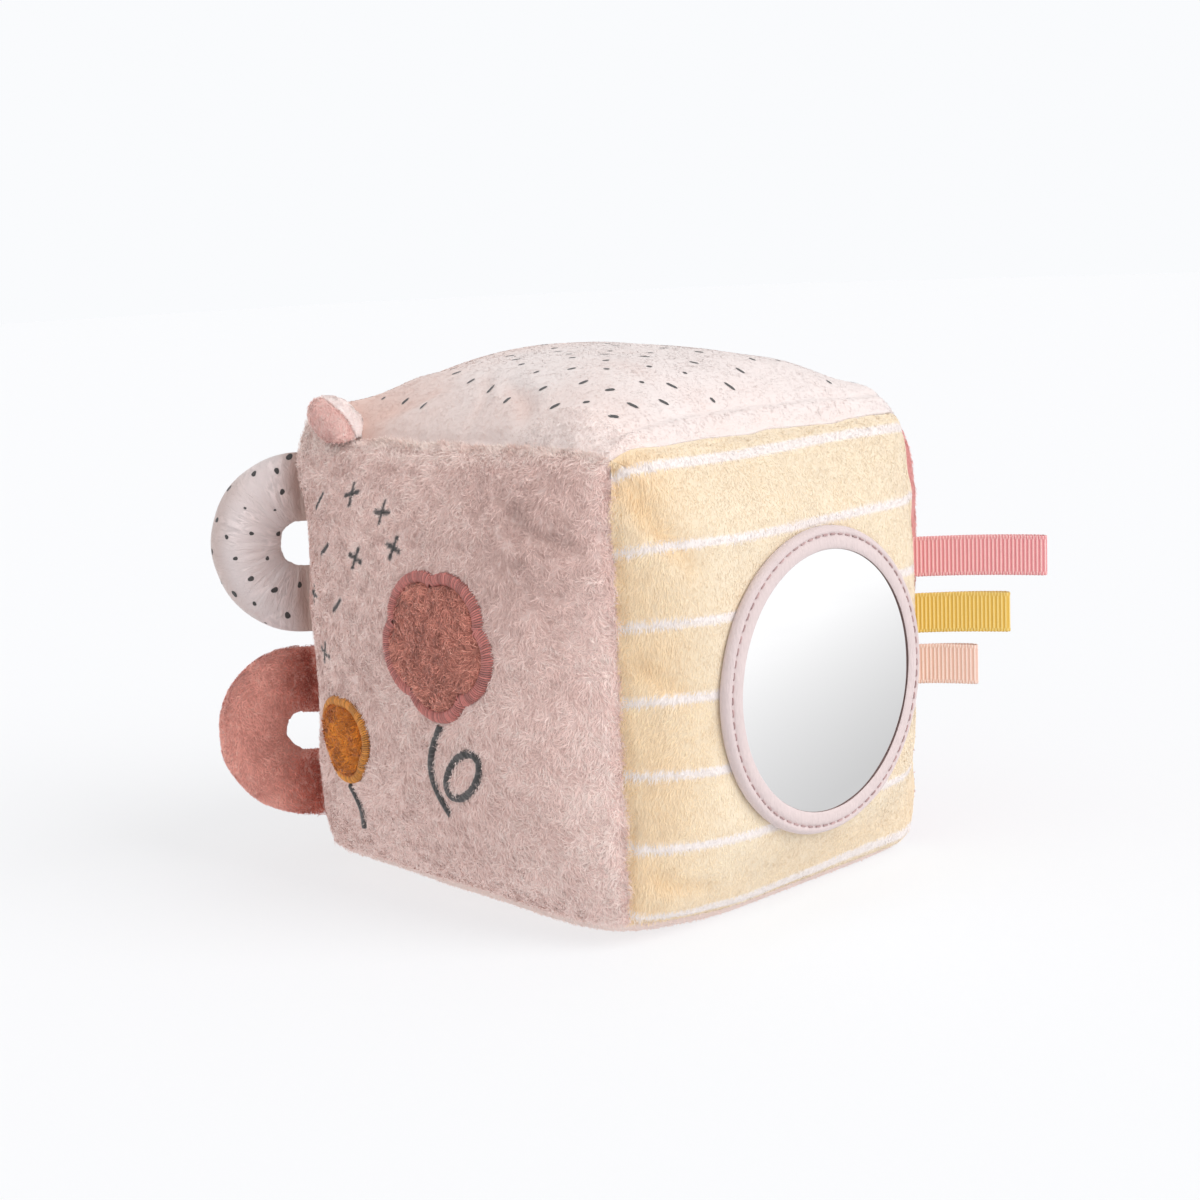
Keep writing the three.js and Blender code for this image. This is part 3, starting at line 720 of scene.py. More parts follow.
def fold(right, up, start, end, width):
    """A soft groove from start to end with a low ridge on its upper side."""
    start, end = np.array(start, float), np.array(end, float)
    along = end - start
    share = ((right - start[0]) * along[0] + (up - start[1]) * along[1]) / (along @ along)
    aside = ((right - start[0]) * -along[1] + (up - start[1]) * along[0]) / np.linalg.norm(along)
    aside = aside + 1.2 * np.sin(share * 5.0)
    ends = smoothstep(-0.15, 0.25, share) * (1 - smoothstep(0.7, 1.15, share))
    return ends * (bump(aside, 0, width) - 0.5 * bump(aside, -1.9 * width, 1.3 * width))


def near_seam_wave(share, width):
    """Nothing at a seam and far from it, and 1 at the width from it. The share is that from the seam."""
    away = share * HALF / width
    return away * np.exp(1 - away)


def off_seat(across, along):
    """0 on the seat of the mirror and 1 well outside its ring."""
    away = np.hypot(across * SEAM_REACH, along * SEAM_REACH + MIRROR_DROP)
    return smoothstep(RING_OUTER_RADIUS - 2, RING_OUTER_RADIUS + 9, away)


def relief(name, across, along, points):
    """How far each point of a panel is raised: lumps, seam grooves, puckers and folds."""
    from_side = (1 - np.abs(across)) * HALF
    from_end = (1 - np.abs(along)) * HALF
    from_seam = np.minimum(from_side, from_end)
    inner = smoothstep(0, INNER_REACH, from_seam)
    lumps = 0.7 * noise(points, 31, 3) + 0.35 * noise(points, 14, 5)
    if name == "mirror":
        inner = inner * off_seat(across, along)
    if name == "base":
        inner = inner * 0
    height = inner * lumps
    height = height - GROOVE_DEPTH * np.exp(-((from_seam / GROOVE_WIDTH) ** 2))
    bites = smoothstep(-0.1, 0.9, noise(points, PUCKER_LENGTH, 11))
    bites = (bites + 0.4 * noise(points, PUCKER_LENGTH / 2, 12)) * smoothstep(6, 26, points[..., 2])
    beside_seam = np.exp(-((from_seam / PUCKER_REACH) ** 2))
    height = height - PUCKER_DEPTH * bites * beside_seam * smoothstep(0, 1.5, from_seam)
    if name in CORNER_FOLDS:
        side_sign, end_sign, depth, reach = CORNER_FOLDS[name]
        aside, ahead = (1 - side_sign * across) * HALF, (1 - end_sign * along) * HALF
        far, angle = np.hypot(aside, ahead), np.arctan2(ahead, aside)
        folds = np.sin(8 * angle + 0.8) + 0.5 * np.sin(15 * angle + 2.0)
        height = height + depth * folds * np.exp(-((far / reach) ** 2)) * smoothstep(0, 3.5, far)
    if name == "top":
        for at_across, at_along, rise, width in TOP_LUMPS:
            height = height + rise * bump(np.hypot(across - at_across, along - at_along), 0, width)
    height = height - folds_on(name, across * SEAM_REACH, along * SEAM_REACH)
    free = smoothstep(0, INNER_REACH, from_end)
    if name == "mirror":
        height = height - 2.4 * near_seam_wave(1 - across, 6.5) * free
    if name == "ribbon":
        upper = 1.6 * smoothstep(-0.1, 0.35, along) - 2.0 * (1 - smoothstep(-0.3, 0.1, along))
        height = height + upper * near_seam_wave(1 + across, 5.0) * free
    if name == "top":
        from_mirror = (1 - across) * HALF
        snip = 1 - 0.9 * bump((along - NOTCH_SHARE) * HALF, 0, 0.9)
        ends = smoothstep(0, 14, from_end)
        ridge = ALLOWANCE_HEIGHT * bump(from_mirror, ALLOWANCE_WIDTH - 1.2, 1.5)
        crease = 0.55 * bump(from_mirror, ALLOWANCE_WIDTH + 1.3, 0.9)
        height = height + ends * (ridge * snip - crease)
    return height


SEAM_DRAW = 2.6
SEAM_DRAW_HEIGHT = 96.0
SEAM_WAVER = 0.55
WAVER_LENGTH = 9.0
UNDER_MOVE = (0.5, 0, -2.9)  # of the mirror panel's lower seam, which turns in under the block
UNDER_REACH = 8.0
UNDER_RUN = (-58, -20)
CORNER_MOVES = [
    # place, movement, reach
    ((62, 62, 8), (-0.2, -0.2, -1.0), 18.0),
    ((62, 62, 134), (-1.1, -1.1, 1.0), 10.0),
    ((-38, -58, 2), (0, 0, 3.0), 24.0),
    ((2, -60, 2), (0, 0, 1.7), 26.0),
    ((-62, -62, 134), (1.0, 1.0, 8.5), 10.0),
    ((-63, -63, 124), (-2.5, -2.5, 0), 9.0),
]


def drawn(points):
    """Points of the panels after the seams are drawn in: by the handles, at corners and under the block."""
    aside = np.linalg.norm(points[..., :2] + SEAM_REACH, axis=-1)
    depth = SEAM_DRAW * bump(aside, 0, 26) * np.maximum(
        bump(points[..., 2], SEAM_DRAW_HEIGHT, 26), 1.25 * bump(points[..., 2], 64, 34))
    moved = points + depth[..., None] * DIAGONAL * (X_AXIS + Y_AXIS)
    for place, movement, reach in CORNER_MOVES:
        near = bump(np.linalg.norm(points - np.array(place), axis=-1), 0, reach)
        moved = moved + near[..., None] * np.array(movement)
    low_seam = CENTRE[2] - SEAM_REACH
    under = bump(np.hypot(points[..., 0] - SEAM_REACH, points[..., 2] - low_seam), 0, UNDER_REACH)
    under = under * smoothstep(*UNDER_RUN, points[..., 1])
    moved = moved + under[..., None] * np.array(UNDER_MOVE)
    ordered = np.sort(np.abs(points - CENTRE), axis=-1)
    near_seam = bump(ordered[..., 1], SEAM_REACH, 5.0) * smoothstep(4, 12, points[..., 2])
    return moved + SEAM_WAVER * near_seam[..., None] * noise_vectors(points, WAVER_LENGTH, 201)


def make_surfaces():
    """The outside of each panel: its plain form, its relief and the folds of the settled cloth."""
    moves = simulate_cloth()
    across, along = np.meshgrid(PANEL_SHARES, PANEL_SHARES, indexing="ij")
    weights = cubic_weights((PANEL_SHARES + 1) / 2, CLOTH_CELLS + 1)
    for name, panel in PANELS.items():
        points = panel_form(panel, across, along)
        direction = outward(panel, across, along)
        height = relief(name, across, along, points)
        if moves is not None:
            drape = np.einsum("ai,ijk,bj->abk", weights, moves[name], weights)
            if name == "mirror":
                drape = drape * off_seat(across, along)[..., None]
            drape = drape * smoothstep(0, INNER_REACH, from_seams(across, along))[..., None]
            points = points + drape * (name != "base")
        points = drawn(points + height[..., None] * direction)
        points[..., 2] = np.maximum(points[..., 2], 0.15)
        panel["surface"] = Surface(points)
        panel["across"], panel["along"], panel["outward"] = across, along, direction


def steps_at(share):
    """Grid steps of a panel's surface at a share from -1 to 1."""
    return np.interp(share, PANEL_SHARES, PANEL_STEPS)


def on_panel(name, right, up, lift=0.0):
    """Points and normals on a panel, at millimetres from its middle."""
    steps = (steps_at(np.asarray(place) / SEAM_REACH) for place in (right, up))
    points, normals = PANELS[name]["surface"].at(*steps)
    return points + np.asarray(lift)[..., None] * normals, normals


def folds_on(name, right, up):
    """How deep a place lies in the folds of a panel."""
    folds = FOLDS.get(name, ())
    return sum(depth * fold(right, up, start, end, width) for start, end, depth, width in folds)


def painted_shade_share(name, right, up):
    """Share of the painted shade, a warmer colour: on the side turned from the light, and in folds."""
    cloud = 0.12 * noise(np.stack([right, up], axis=-1), 11.0, 91)
    if name == "mirror":
        share = 0.5 * (1 - smoothstep(0, 30, right + SEAM_REACH))
        share, deep = share + 0.25 * (1 - smoothstep(0, 26, up + SEAM_REACH)), 0.55
    else:
        share = 0.95 * (1 - smoothstep(-60, 2, right)) + 0.3 * (1 - smoothstep(-64, -34, up))
        deep = 0.3
    return np.clip(share + cloud + deep * folds_on(name, right, up), 0, 1)


def make_panel(name, material, node, slot, values=None):
    """A closed sheet of plush: its outside, its back, and the cut edge inside the seam."""
    panel = PANELS[name]
    outside = panel["surface"].points
    count = PANEL_CELLS + 1
    share = smoothstep(0, 3, from_seams(panel["across"], panel["along"]))[..., None]
    thickness = unit(share * panel["surface"].normals + (1 - share) * panel["outward"])
    back = outside - PLUSH_THICKNESS * thickness
    size = count * count
    edge = np.concatenate([
        np.arange(count - 1) * count, size - count + np.arange(count - 1),
        (size - 1) - np.arange(count - 1) * count, count - 1 - np.arange(count - 1),
    ])
    after = np.roll(edge, -1)
    rim = np.stack([edge + size, after + size, after, edge], axis=-1)
    points = np.concatenate([outside.reshape(-1, 3), back.reshape(-1, 3)])
    faces = [grid_quads(count, count), grid_quads(count, count, start=size, turned=True), rim]
    piece = add_mesh(f"{name}_plush", points, faces, [material])
    for key, value in (values or {}).items():
        attach(piece, key, [value, value])
    seated(piece, "block", slot, node)


# Pile: many thin curved fibres that lie along a surface

FIBRE_FACES = np.array([[0, 1, 3, 2]]), np.array([[2, 3, 4]])


def add_fibres(name, roots, low_side, middles, middle_side, tips, materials, shades):
    """One object of many thin blades, each with two points at its root, two at its middle and a tip."""
    points = np.stack([
        roots - low_side, roots + low_side, middles - middle_side, middles + middle_side, tips,
    ], axis=1)
    starts = (5 * np.arange(len(tips)))[:, None, None]
    faces = [(starts + face).reshape(-1, face.shape[1]) for face in FIBRE_FACES]
    return add_mesh(name, points.reshape(-1, 3), faces, materials, np.tile(shades, 2))


def pile(name, body, surface, count, length, width, rise, flow, shade, materials, slot, seed,
         trim=None, curl=0.0, tilt=0.45):
    """Fibres on a surface. flow gives each root's direction, shade its colour, trim its share of length."""
    random = np.random.default_rng(seed)
    i, j = surface.scatter(count, random)
    roots, normals = surface.at(i, j)
    sizes = np.ones(count) if trim is None else trim(roots)
    kept = sizes > 0
    j, roots, normals, sizes = j[kept], roots[kept], normals[kept], sizes[kept]
    count = len(roots)
    direction = flow(roots, normals) + 0.35 * random.normal(size=(count, 3))
    direction = unit(direction - (direction * normals).sum(1, keepdims=True) * normals)
    lengths = (length * sizes * random.uniform(0.65, 1.3, count))[:, None]
    widths = (width * random.uniform(0.6, 1.3, count))[:, None]
    rises = (rise * sizes * random.uniform(0.3, 1.3, count))[:, None]
    roll = random.normal(scale=tilt, size=count)[:, None]
    side = np.cross(normals, direction) * np.cos(roll) + normals * np.sin(roll)
    root = roots - 0.12 * normals
    bend = curl * lengths * random.normal(size=(count, 1)) * np.cross(normals, direction)
    middle = roots + 0.5 * lengths * direction + 0.8 * rises * normals + bend
    tip = roots + lengths * direction + rises * random.uniform(0.5, 1.1, (count, 1)) * normals
    colours = shade(roots + 0.4 * lengths * direction, j, random)
    piece = add_fibres(name, root, side * widths / 2, middle, side * widths * 0.42, tip, materials, colours)
    return seated(piece, body, slot)


CLUMP_SIZE = 2.3


def clumps(points):
    """From -1 in the gaps between clumps of pile to 1 on their crests."""
    return noise(points, CLUMP_SIZE, 23)


def tones(points, random, patch, steps=5, spread=0.8, lift=0.0, clumped=0.0, cloudy=1.0):
    """Tones from dark to light: soft patches, clumps painted darker in their gaps and lighter on their crests
    as painted shade and highlight, and single fibres. lift makes all of them lighter or darker.
    """
    middle = (steps - 1) / 2
    clouds = cloudy * (0.8 * noise(points, patch, 21) + 0.6 * noise(points, patch / 4, 22))
    value = clouds + clumped * clumps(points)
    value = middle + steps / 5 * (value + spread * random.normal(size=len(points)) + lift)
    return np.clip(np.round(value), 0, steps - 1).astype(int)


def plain_shade(patch, **settings):
    """Shade of a pile in one colour, with soft patches of this size."""
    def shade(points, j, random):
        return tones(points, random, patch, **settings)
    return shade


def combed(base, swirl, clump, swirl_size=18.0, clump_size=3.0, seed=31):
    """Flow that follows base, with wide swirls and small clumps that lean their own way."""
    def flow(roots, normals):
        wide = noise_vectors(roots, swirl_size, seed)
        small = noise_vectors(roots, clump_size, seed + 5)
        return np.asarray(base) + swirl * wide + clump * small
    return flow


# Print and patches on the front panel


def petal_outline(form, turn):
    petal = np.abs(np.cos(form["petals"] * (turn + math.pi / 2) / 2))
    return form["radius"] * (1 - form["notch"] * (1 - np.sqrt(petal + NOTCH_SOFT_SHARE)))


def inside_form(form, right, up, margin):
    """True where a place on the front panel lies inside a patch's outline plus a margin."""
    away = np.hypot(right - form["right"], up - form["up"])
    turn = np.arctan2(up - form["up"], right - form["right"])
    return away < petal_outline(form, turn) + margin


MARK_PLACES = [
    (-45, 47), (-28, 50), (-12, 46), (-37, 34), (-20, 33), (-46, 20), (-29, 19), (-39, 4), (-4, 37),
]


def random_marks():
    """Small crosses and ticks in loose rows near the top left of the front panel."""
    strokes = []
    random = np.random.default_rng(5)
    for k, (right, up) in enumerate(MARK_PLACES):
        turn = random.uniform(-0.35, 0.35)
        arms = (turn, turn + TAU / 4) if k % 3 else (turn + TAU / 8,)
        for arm in arms:
            reach = 2.9 if k % 3 else 2.4
            step = reach * np.array([math.cos(arm), math.sin(arm)])
            strokes.append((np.array([right, up]) - step, np.array([right, up]) + step))
    return strokes


MARKS = random_marks()
MARK_HALF = 0.65


def from_marks(right, up):
    """Distance to the nearest stroke of the printed marks."""
    places = np.stack([right, up], axis=-1)
    nearest = np.full(places.shape[:-1], np.inf)
    for start, end in MARKS:
        along = end - start
        share = np.clip((places - start) @ along / (along @ along), 0, 1)[..., None]
        nearest = np.minimum(nearest, np.linalg.norm(places - start - share * along, axis=-1))
    return nearest


def panel_place(name, points):
    """Millimetres to the right and up from a panel's middle."""
    panel = PANELS[name]
    return (points - CENTRE) @ panel["right"], (points - CENTRE) @ panel["up"]


def from_stripe(along, right):
    """Distance to the middle of the nearest white stripe of the mirror panel."""
    wave = 0.008 * np.sin(right / 19.0)
    middles = [STRIPE_TOP_SHARE - k * STRIPE_PITCH_SHARE + wave for k in range(STRIPES)]
    return np.min([np.abs(along - middle) for middle in middles], axis=0) * SEAM_REACH


FRONT_TONES = 7
FRONT_HOLLOW = (46, 43)  # the shaded dent near the top corner, to the right and up


def front_painted_light(right, up):
    """How much lighter the front's pile is painted, as painted light and shade: more at its top and right
    edges and low on the right, less in its dent and folds.
    """
    edges = 2.6 * smoothstep(-8, -1, up - SEAM_REACH) + 0.9 * smoothstep(-14, -3, right - SEAM_REACH)
    hollow = 2.8 * bump(np.hypot(right - FRONT_HOLLOW[0], up - FRONT_HOLLOW[1]), 0, 19)
    low = 0.5 * smoothstep(-10, 50, right) * (1 - smoothstep(-40, 25, up))
    return edges - 1.3 * folds_on("front", right, up) - hollow + low + 0.3


def make_front():
    surface = PANELS["front"]["surface"]
    right, up = panel_place("front", surface.points)
    marks = 1 - smoothstep(MARK_HALF - 0.15, MARK_HALF + 0.15, from_marks(right, up))
    ground = ground_material("dusty_pink_ground", shaded(DUSTY_PINK, -0.08), 0.04, paint=CHARCOAL)
    make_panel("front", ground, "front_panel", "dusty_pink_plush", {"paint": marks})
    settings = {"steps": FRONT_TONES, "extra": (CHARCOAL,), "hold": 0.6}
    materials = pile_materials("dusty_pink", DUSTY_PINK, 0.13, **settings)
    # The locks stand on the crests of the clumps in a slightly lighter pink: a painted highlight.
    light = pile_materials("dusty_pink_highlight", DUSTY_PINK_HIGHLIGHT, 0.08, **settings)

    def shade(points, j, random):
        right, up = panel_place("front", points)
        lift = front_painted_light(right, up)
        colours = tones(points, random, 18.0, FRONT_TONES, 1.0, lift, clumped=1.0, cloudy=0.6)
        return np.where(from_marks(right, up) < MARK_HALF, FRONT_TONES, colours)

    def trim(roots):
        right, up = panel_place("front", roots)
        away = from_marks(right, up)
        sizes = np.where(away < 3.5, 0.3 + 0.14 * away, 1.0)
        for form in (FLOWER, BUD):
            sizes = np.where(inside_form(form, right, up, form["border"] - 0.2), 0, sizes)
        return sizes

    def trim_locks(roots):
        crests, away = clumps(roots), from_marks(*panel_place("front", roots))
        sizes = trim(roots) * (0.75 + 0.35 * crests)
        return np.where((crests < -0.2) | (away < MARK_HALF + 0.6), 0, sizes)

    layers = {
        # name: the sizes, as count, length, width and rise, then finishes, trim and curl
        "front_pile_1": ((60000, 1.7, 0.2, 0.6), materials, trim, 0.2),
        "front_pile_2": ((50000, 2.0, 0.19, 0.85), materials, trim, 0.25),
        "front_locks": ((26000, 2.7, 0.2, 1.15), light, trim_locks, 0.3),
    }
    flow = combed(-0.45 * Z_AXIS, 0.9, 1.5, clump_size=CLUMP_SIZE)
    for k, (name, (sizes, finishes, cut, curl)) in enumerate(layers.items()):
        pile(name, "block", surface, *sizes, flow, shade, finishes, "dusty_pink_plush", 101 + k, cut, curl)


FRINGES = {
    # panel, the side its edge lies on, from and to along it, count, length, colour, slot
    # The fringes on the front are paler than its pile, a painted highlight along its top and right edges; the
    # one on the mirror panel takes the yellow's painted shade.
    "front_top": ("front", (0, 1), (-64, 64), 4200, 1.6, TOP_FRINGE_HIGHLIGHT, "dusty_pink_plush"),
    "front_side": ("front", (1, 0), (-64, 60), 2600, 1.4, DUSTY_PINK_HIGHLIGHT, "dusty_pink_plush"),
    "mirror_side": (
        "mirror", (-1, 0), (-64, 58), 1800, 0.9, shaded(PAINTED_SHADE_YELLOW, 0.02), "yellow_striped_plush",
    ),
}


FRINGE_DEPTH = 2.2  # from the seam inwards, over which the fibres of a fringe are rooted


def make_fringe(name, panel, edge, span, count, length, colour, slot):
    """Fibres that stand out over a seam from one panel's edge."""
    random = np.random.default_rng(171 + len(name))
    along, inward = random.uniform(*span, count), FRINGE_DEPTH * random.random(count) ** 1.5
    right = np.where(edge[0], edge[0] * (SEAM_REACH - inward), along)
    up = np.where(edge[1], edge[1] * (SEAM_REACH - inward), along)
    roots, normals = on_panel(panel, right, up)
    way = edge[0] * PANELS[panel]["right"] + edge[1] * PANELS[panel]["up"]
    stray = 0.6 * way + 0.5 * normals + 0.4 * random.normal(size=(count, 3))
    direction = unit(stray + 0.8 * noise_vectors(roots, 3.0, 172))
    lengths = (length * random.uniform(0.5, 1.2, count))[:, None]
    side = 0.09 * unit(np.cross(direction, normals))
    middle = roots + 0.5 * lengths * direction
    tip = roots + lengths * direction + 0.2 * lengths * random.normal(size=(count, 3))
    shades = np.clip(np.round(1 + noise(roots, 4.0, 173) + 0.5 * random.normal(size=count)), 0, 2)
    name = f"{name}_fringe"
    materials = pile_materials(name, colour, 0.03, steps=3)
    seated(add_fibres(name, roots, side, middle, 0.8 * side, tip, materials, shades), "block", slot)


BRUSHED_SHARE = 1.2  # how much longer the yellow pile lies beside the front seam


def make_mirror_panel():
    panel = PANELS["mirror"]
    right, up = panel_place("mirror", panel["surface"].points)
    stripes = 1 - smoothstep(STRIPE_HALF - 0.3, STRIPE_HALF + 0.3, from_stripe(panel["along"], right))
    # The yellow takes a warmer colour, a painted shade, on the side turned from the light, low down and in
    # folds.
    painted_shade = shaded(PAINTED_SHADE_YELLOW, -0.04)
    ground = ground_material("yellow_ground", shaded(YELLOW, -0.05), 0.03, STRIPE_WHITE, painted_shade)
    make_panel("mirror", ground, "mirror_panel", "yellow_striped_plush",
               {"paint": stripes, "painted_shade": painted_shade_share("mirror", right, up)})
    whites = shaded(STRIPE_WHITE, -0.02), shaded(STRIPE_WHITE, 0.03)
    materials = graded_pile("yellow", YELLOW, PAINTED_SHADE_YELLOW, 0.05, extra=whites)
    white = len(materials) - len(whites)

    def shade(points, j, random):
        right, up = panel_place("mirror", points)
        along = np.interp(j, PANEL_STEPS, PANEL_SHARES)
        tone = tones(points, random, 20.0, spread=0.5, clumped=0.9)
        colours = graded(tone, painted_shade_share("mirror", right, up), random)
        edge = STRIPE_HALF + 0.25 * random.normal(size=len(points))
        pale = white + (random.random(len(points)) > 0.5)
        return np.where(from_stripe(along, right) < edge, pale, colours)

    def trim(roots):
        right, up = panel_place("mirror", roots)
        away = np.hypot(right, up + MIRROR_DROP)
        brushed = 1 + BRUSHED_SHARE * (1 - smoothstep(3, 20, right + SEAM_REACH))
        return np.where(away < RING_OUTER_RADIUS - 2.2, 0, brushed)

    for part in range(2):
        pile(f"mirror_panel_pile_{part + 1}", "block", panel["surface"], 48000, 0.95, 0.18, 0.2,
             combed(-1.3 * Z_AXIS - 0.3 * Y_AXIS, 0.4, 0.5, clump_size=CLUMP_SIZE), shade, materials,
             "yellow_striped_plush", 111 + part, trim, 0.15, tilt=0.2)


def coral_trim(points):
    """Shorter coral pile low down beside the corner that is seen in outline."""
    return 1 - 0.55 * smoothstep(50, 60, points[:, 0]) * (1 - smoothstep(60, 85, points[:, 2]))


def make_plain_panel(name, node, slot, colour, count, seed, length=1.7, contrast=0.08, trim=None):
    ground = ground_material(f"{name}_ground", shaded(colour, -0.06), 0.04)
    make_panel(name, ground, node, slot)
    pile(f"{name}_pile", "block", PANELS[name]["surface"], count, length, 0.22, 0.4,
         combed(-PANELS[name]["up"], 0.6, 0.7, seed=seed), plain_shade(18.0),
         pile_materials(name, colour, contrast), slot, seed, trim=trim, tilt=0.3)


# Dashes on the top panel, in rows that fan out from beyond its front corner

FAN_CENTRE = np.array([80.0, -80.0])
DASH_HALF_WIDTH = 0.58
DASH_CLEARING = 1.6  # round the middle of a dash, where no pile stands
DASH_REACH = 57  # from the middle of the panel
FOLD_RIGHT, FOLD_UP, FOLD_HALF, FOLD_WIDTH = 46, -60, 14, 7.0


def corner_fold(right, up):
    """1 on the brushed fold of the top panel at the near corner, 0 away from it. The fold is painted paler
    there, a painted highlight, and gets a fluffier pile.
    """
    aside = np.maximum(np.abs(right - FOLD_RIGHT) - FOLD_HALF, 0)
    from_line = np.hypot(aside, up - FOLD_UP - 0.25 * (right - FOLD_RIGHT))
    ragged = 0.8 + 0.5 * noise(np.stack([right, up], axis=-1), 3.0, 95)
    return np.clip(bump(from_line, 0, FOLD_WIDTH) * ragged, 0, 1)


def dash_places():
    """Middle, direction and half length of each dash, from the middle of the top panel."""
    random = np.random.default_rng(8)
    dashes = []
    for row, angle in enumerate(np.arange(94, 178, 8.0)):
        for away in np.arange(34 + 6 * (row % 2), 215, 12.0):
            turn = math.radians(angle + random.uniform(-1.2, 1.2))
            far = away + random.uniform(-2, 2)
            middle = FAN_CENTRE + far * np.array([math.cos(turn), math.sin(turn)])
            if np.abs(middle).max() < DASH_REACH:
                dashes.append((middle, turn + TAU / 4 + random.uniform(-0.5, 0.5), random.uniform(0.6, 1.7)))
    return dashes


def make_top():
    panel = PANELS["top"]
    right, up = panel_place("top", panel["surface"].points)
    # The top's ground takes a warmer painted shade on its left and front side and in folds, and a paler
    # painted highlight on the fold at the near corner.
    make_panel("top", smooth_plush_material("pale_pink_smooth", PALE_PINK, 0.03, PAINTED_SHADE_PINK), "top_panel",
               "pale_pink_plush", {"painted_shade": painted_shade_share("top", right, up), "bright": corner_fold(right, up)})
    dashes = dash_places()
    s, w = np.meshgrid(np.linspace(-1, 1, 7), np.linspace(-1, 1, 4), indexing="ij")
    width = DASH_HALF_WIDTH * np.sqrt(np.maximum(1 - s**4, 0.02)) * w
    points, quads = [], []
    for k, (middle, turn, half) in enumerate(dashes):
        right = middle[0] + half * s * math.cos(turn) - width * math.sin(turn)
        up = middle[1] + half * s * math.sin(turn) + width * math.cos(turn)
        points.append(on_panel("top", right, up, 0.12 + 0 * right)[0].reshape(-1, 3))
        quads.append(grid_quads(*s.shape, start=k * s.size))
    prints = add_mesh("top_printed_dashes", np.concatenate(points), [np.concatenate(quads)],
                      [woven_material("charcoal_print", CHARCOAL, 0.1)])
    seated(prints, "block", "charcoal_thread")
    materials = graded_pile("pale_pink", PALE_PINK, PAINTED_SHADE_PINK, 0.04)

    def shade(points, j, random):
        right, up = panel_place("top", points)
        # Painted shade: darker in the folds, and warmer on the side turned from the light.
        colours = tones(points, random, 22.0, spread=0.6, lift=-1.2 * folds_on("top", right, up))
        return graded(colours, painted_shade_share("top", right, up), random)

    def trim(roots):
        right, up = panel_place("top", roots)
        away = np.full(len(roots), np.inf)
        for middle, _, _ in dashes:
            away = np.minimum(away, np.hypot(right - middle[0], up - middle[1]))
        return np.where(away < DASH_CLEARING, 0, 1.0)

    pile("top_pile", "block", panel["surface"], 30000, 1.4, 0.24, 0.12,
         combed(0.3 * X_AXIS, 0.7, 0.7), shade, materials, "pale_pink_plush", 121, trim, tilt=0.15)

    def trim_fold(roots):
        share = corner_fold(*panel_place("top", roots))
        return np.where(share < 0.3, 0, share)

    # A fluffier pile on the fold, painted pale as a painted highlight.
    pile("top_fold_pile", "block", panel["surface"], 90000, 2.3, 0.2, 0.5,
         combed(0.5 * X_AXIS - 0.3 * Y_AXIS, 0.8, 1.2), plain_shade(6.0),
         pile_materials("highlight_cream", shaded(PAINTED_HIGHLIGHT_CREAM, -0.02), 0.02), "pale_pink_plush", 122, trim_fold,
         curl=0.3, tilt=0.3)


# Filling of the block, seen only if a panel is taken away

STUFFING_DEPTH = 3.6
STUFFING_CELLS = 48


def make_stuffing():
    points, quads, _ = sewn_shell(STUFFING_CELLS)
    away = points - CENTRE
    form = CENTRE + away * (1 - STUFFING_DEPTH / np.linalg.norm(away, axis=1))[:, None]
    form = form + (0.7 * noise(form, 9, 41) - 0.5)[:, None] * unit(away)
    form[:, 2] = np.maximum(form[:, 2], PLUSH_THICKNESS + 0.6)
    piece = add_mesh("fibre_stuffing", form, [quads], [fibre_material("fibre")])
    seated(piece, "block", "fibre_filling", "stuffing")


# Satin stitches and embroidered lines


def thread_set(name, colour, contrast):
    shares = enumerate((-contrast, 0, contrast))
    return [thread_material(f"{name}_{k}", shaded(colour, share)) for k, share in shares]


def add_threads(name, paths, radius, reference, materials, slot, node=None, sides=5):
    """Round threads, each of its own tone."""
    points, quads, caps = tubes(paths, radius, sides, reference)
    many, steps = np.shape(paths)[:2]
    random = np.random.default_rng(many)
    tone = random.integers(0, len(materials), many)
    shades = np.concatenate([np.repeat(tone, (steps - 1) * sides), np.repeat(tone, 2 * sides)])
    piece = add_mesh(name, points, [quads, caps], materials, shades)
    return seated(piece, "block", slot, node)


def lengths_along(line):
    """Length of a line from its start to each of its points."""
    return np.concatenate([[0], np.cumsum(np.linalg.norm(np.diff(line, axis=0), axis=1))])


def stitch_places(path, shares, pitch, nudge, closed):
    """Places at equal steps along a path, and its direction at each of them."""
    total = lengths_along(path(shares))
    places = np.linspace(0, total[-1], int(total[-1] / pitch), endpoint=not closed)
    at = np.interp(places, total, shares)
    return path(at), unit(path(at + nudge) - path(at - nudge))


def satin_paths(middle, here, travel, half_width, height, lean, steps, roundness=1.0, base=0.1):
    """Arched stitches across a line on the front panel, from its places and directions."""
    share = np.linspace(-1, 1, steps)
    side = np.stack([travel[:, 1], -travel[:, 0]], axis=-1)
    across = np.reshape(half_width, (-1, 1)) * share
    at_right, at_up = (
        middle[k] + here[:, k, None] + side[:, k, None] * across + travel[:, k, None] * (lean * share)
        for k in (0, 1)
    )
    rise = np.reshape(height, (-1, 1)) * np.sqrt(np.maximum(1 - share**2, 0)) ** roundness + base
    return on_panel("front", at_right, at_up, np.broadcast_to(rise, at_right.shape))[0]


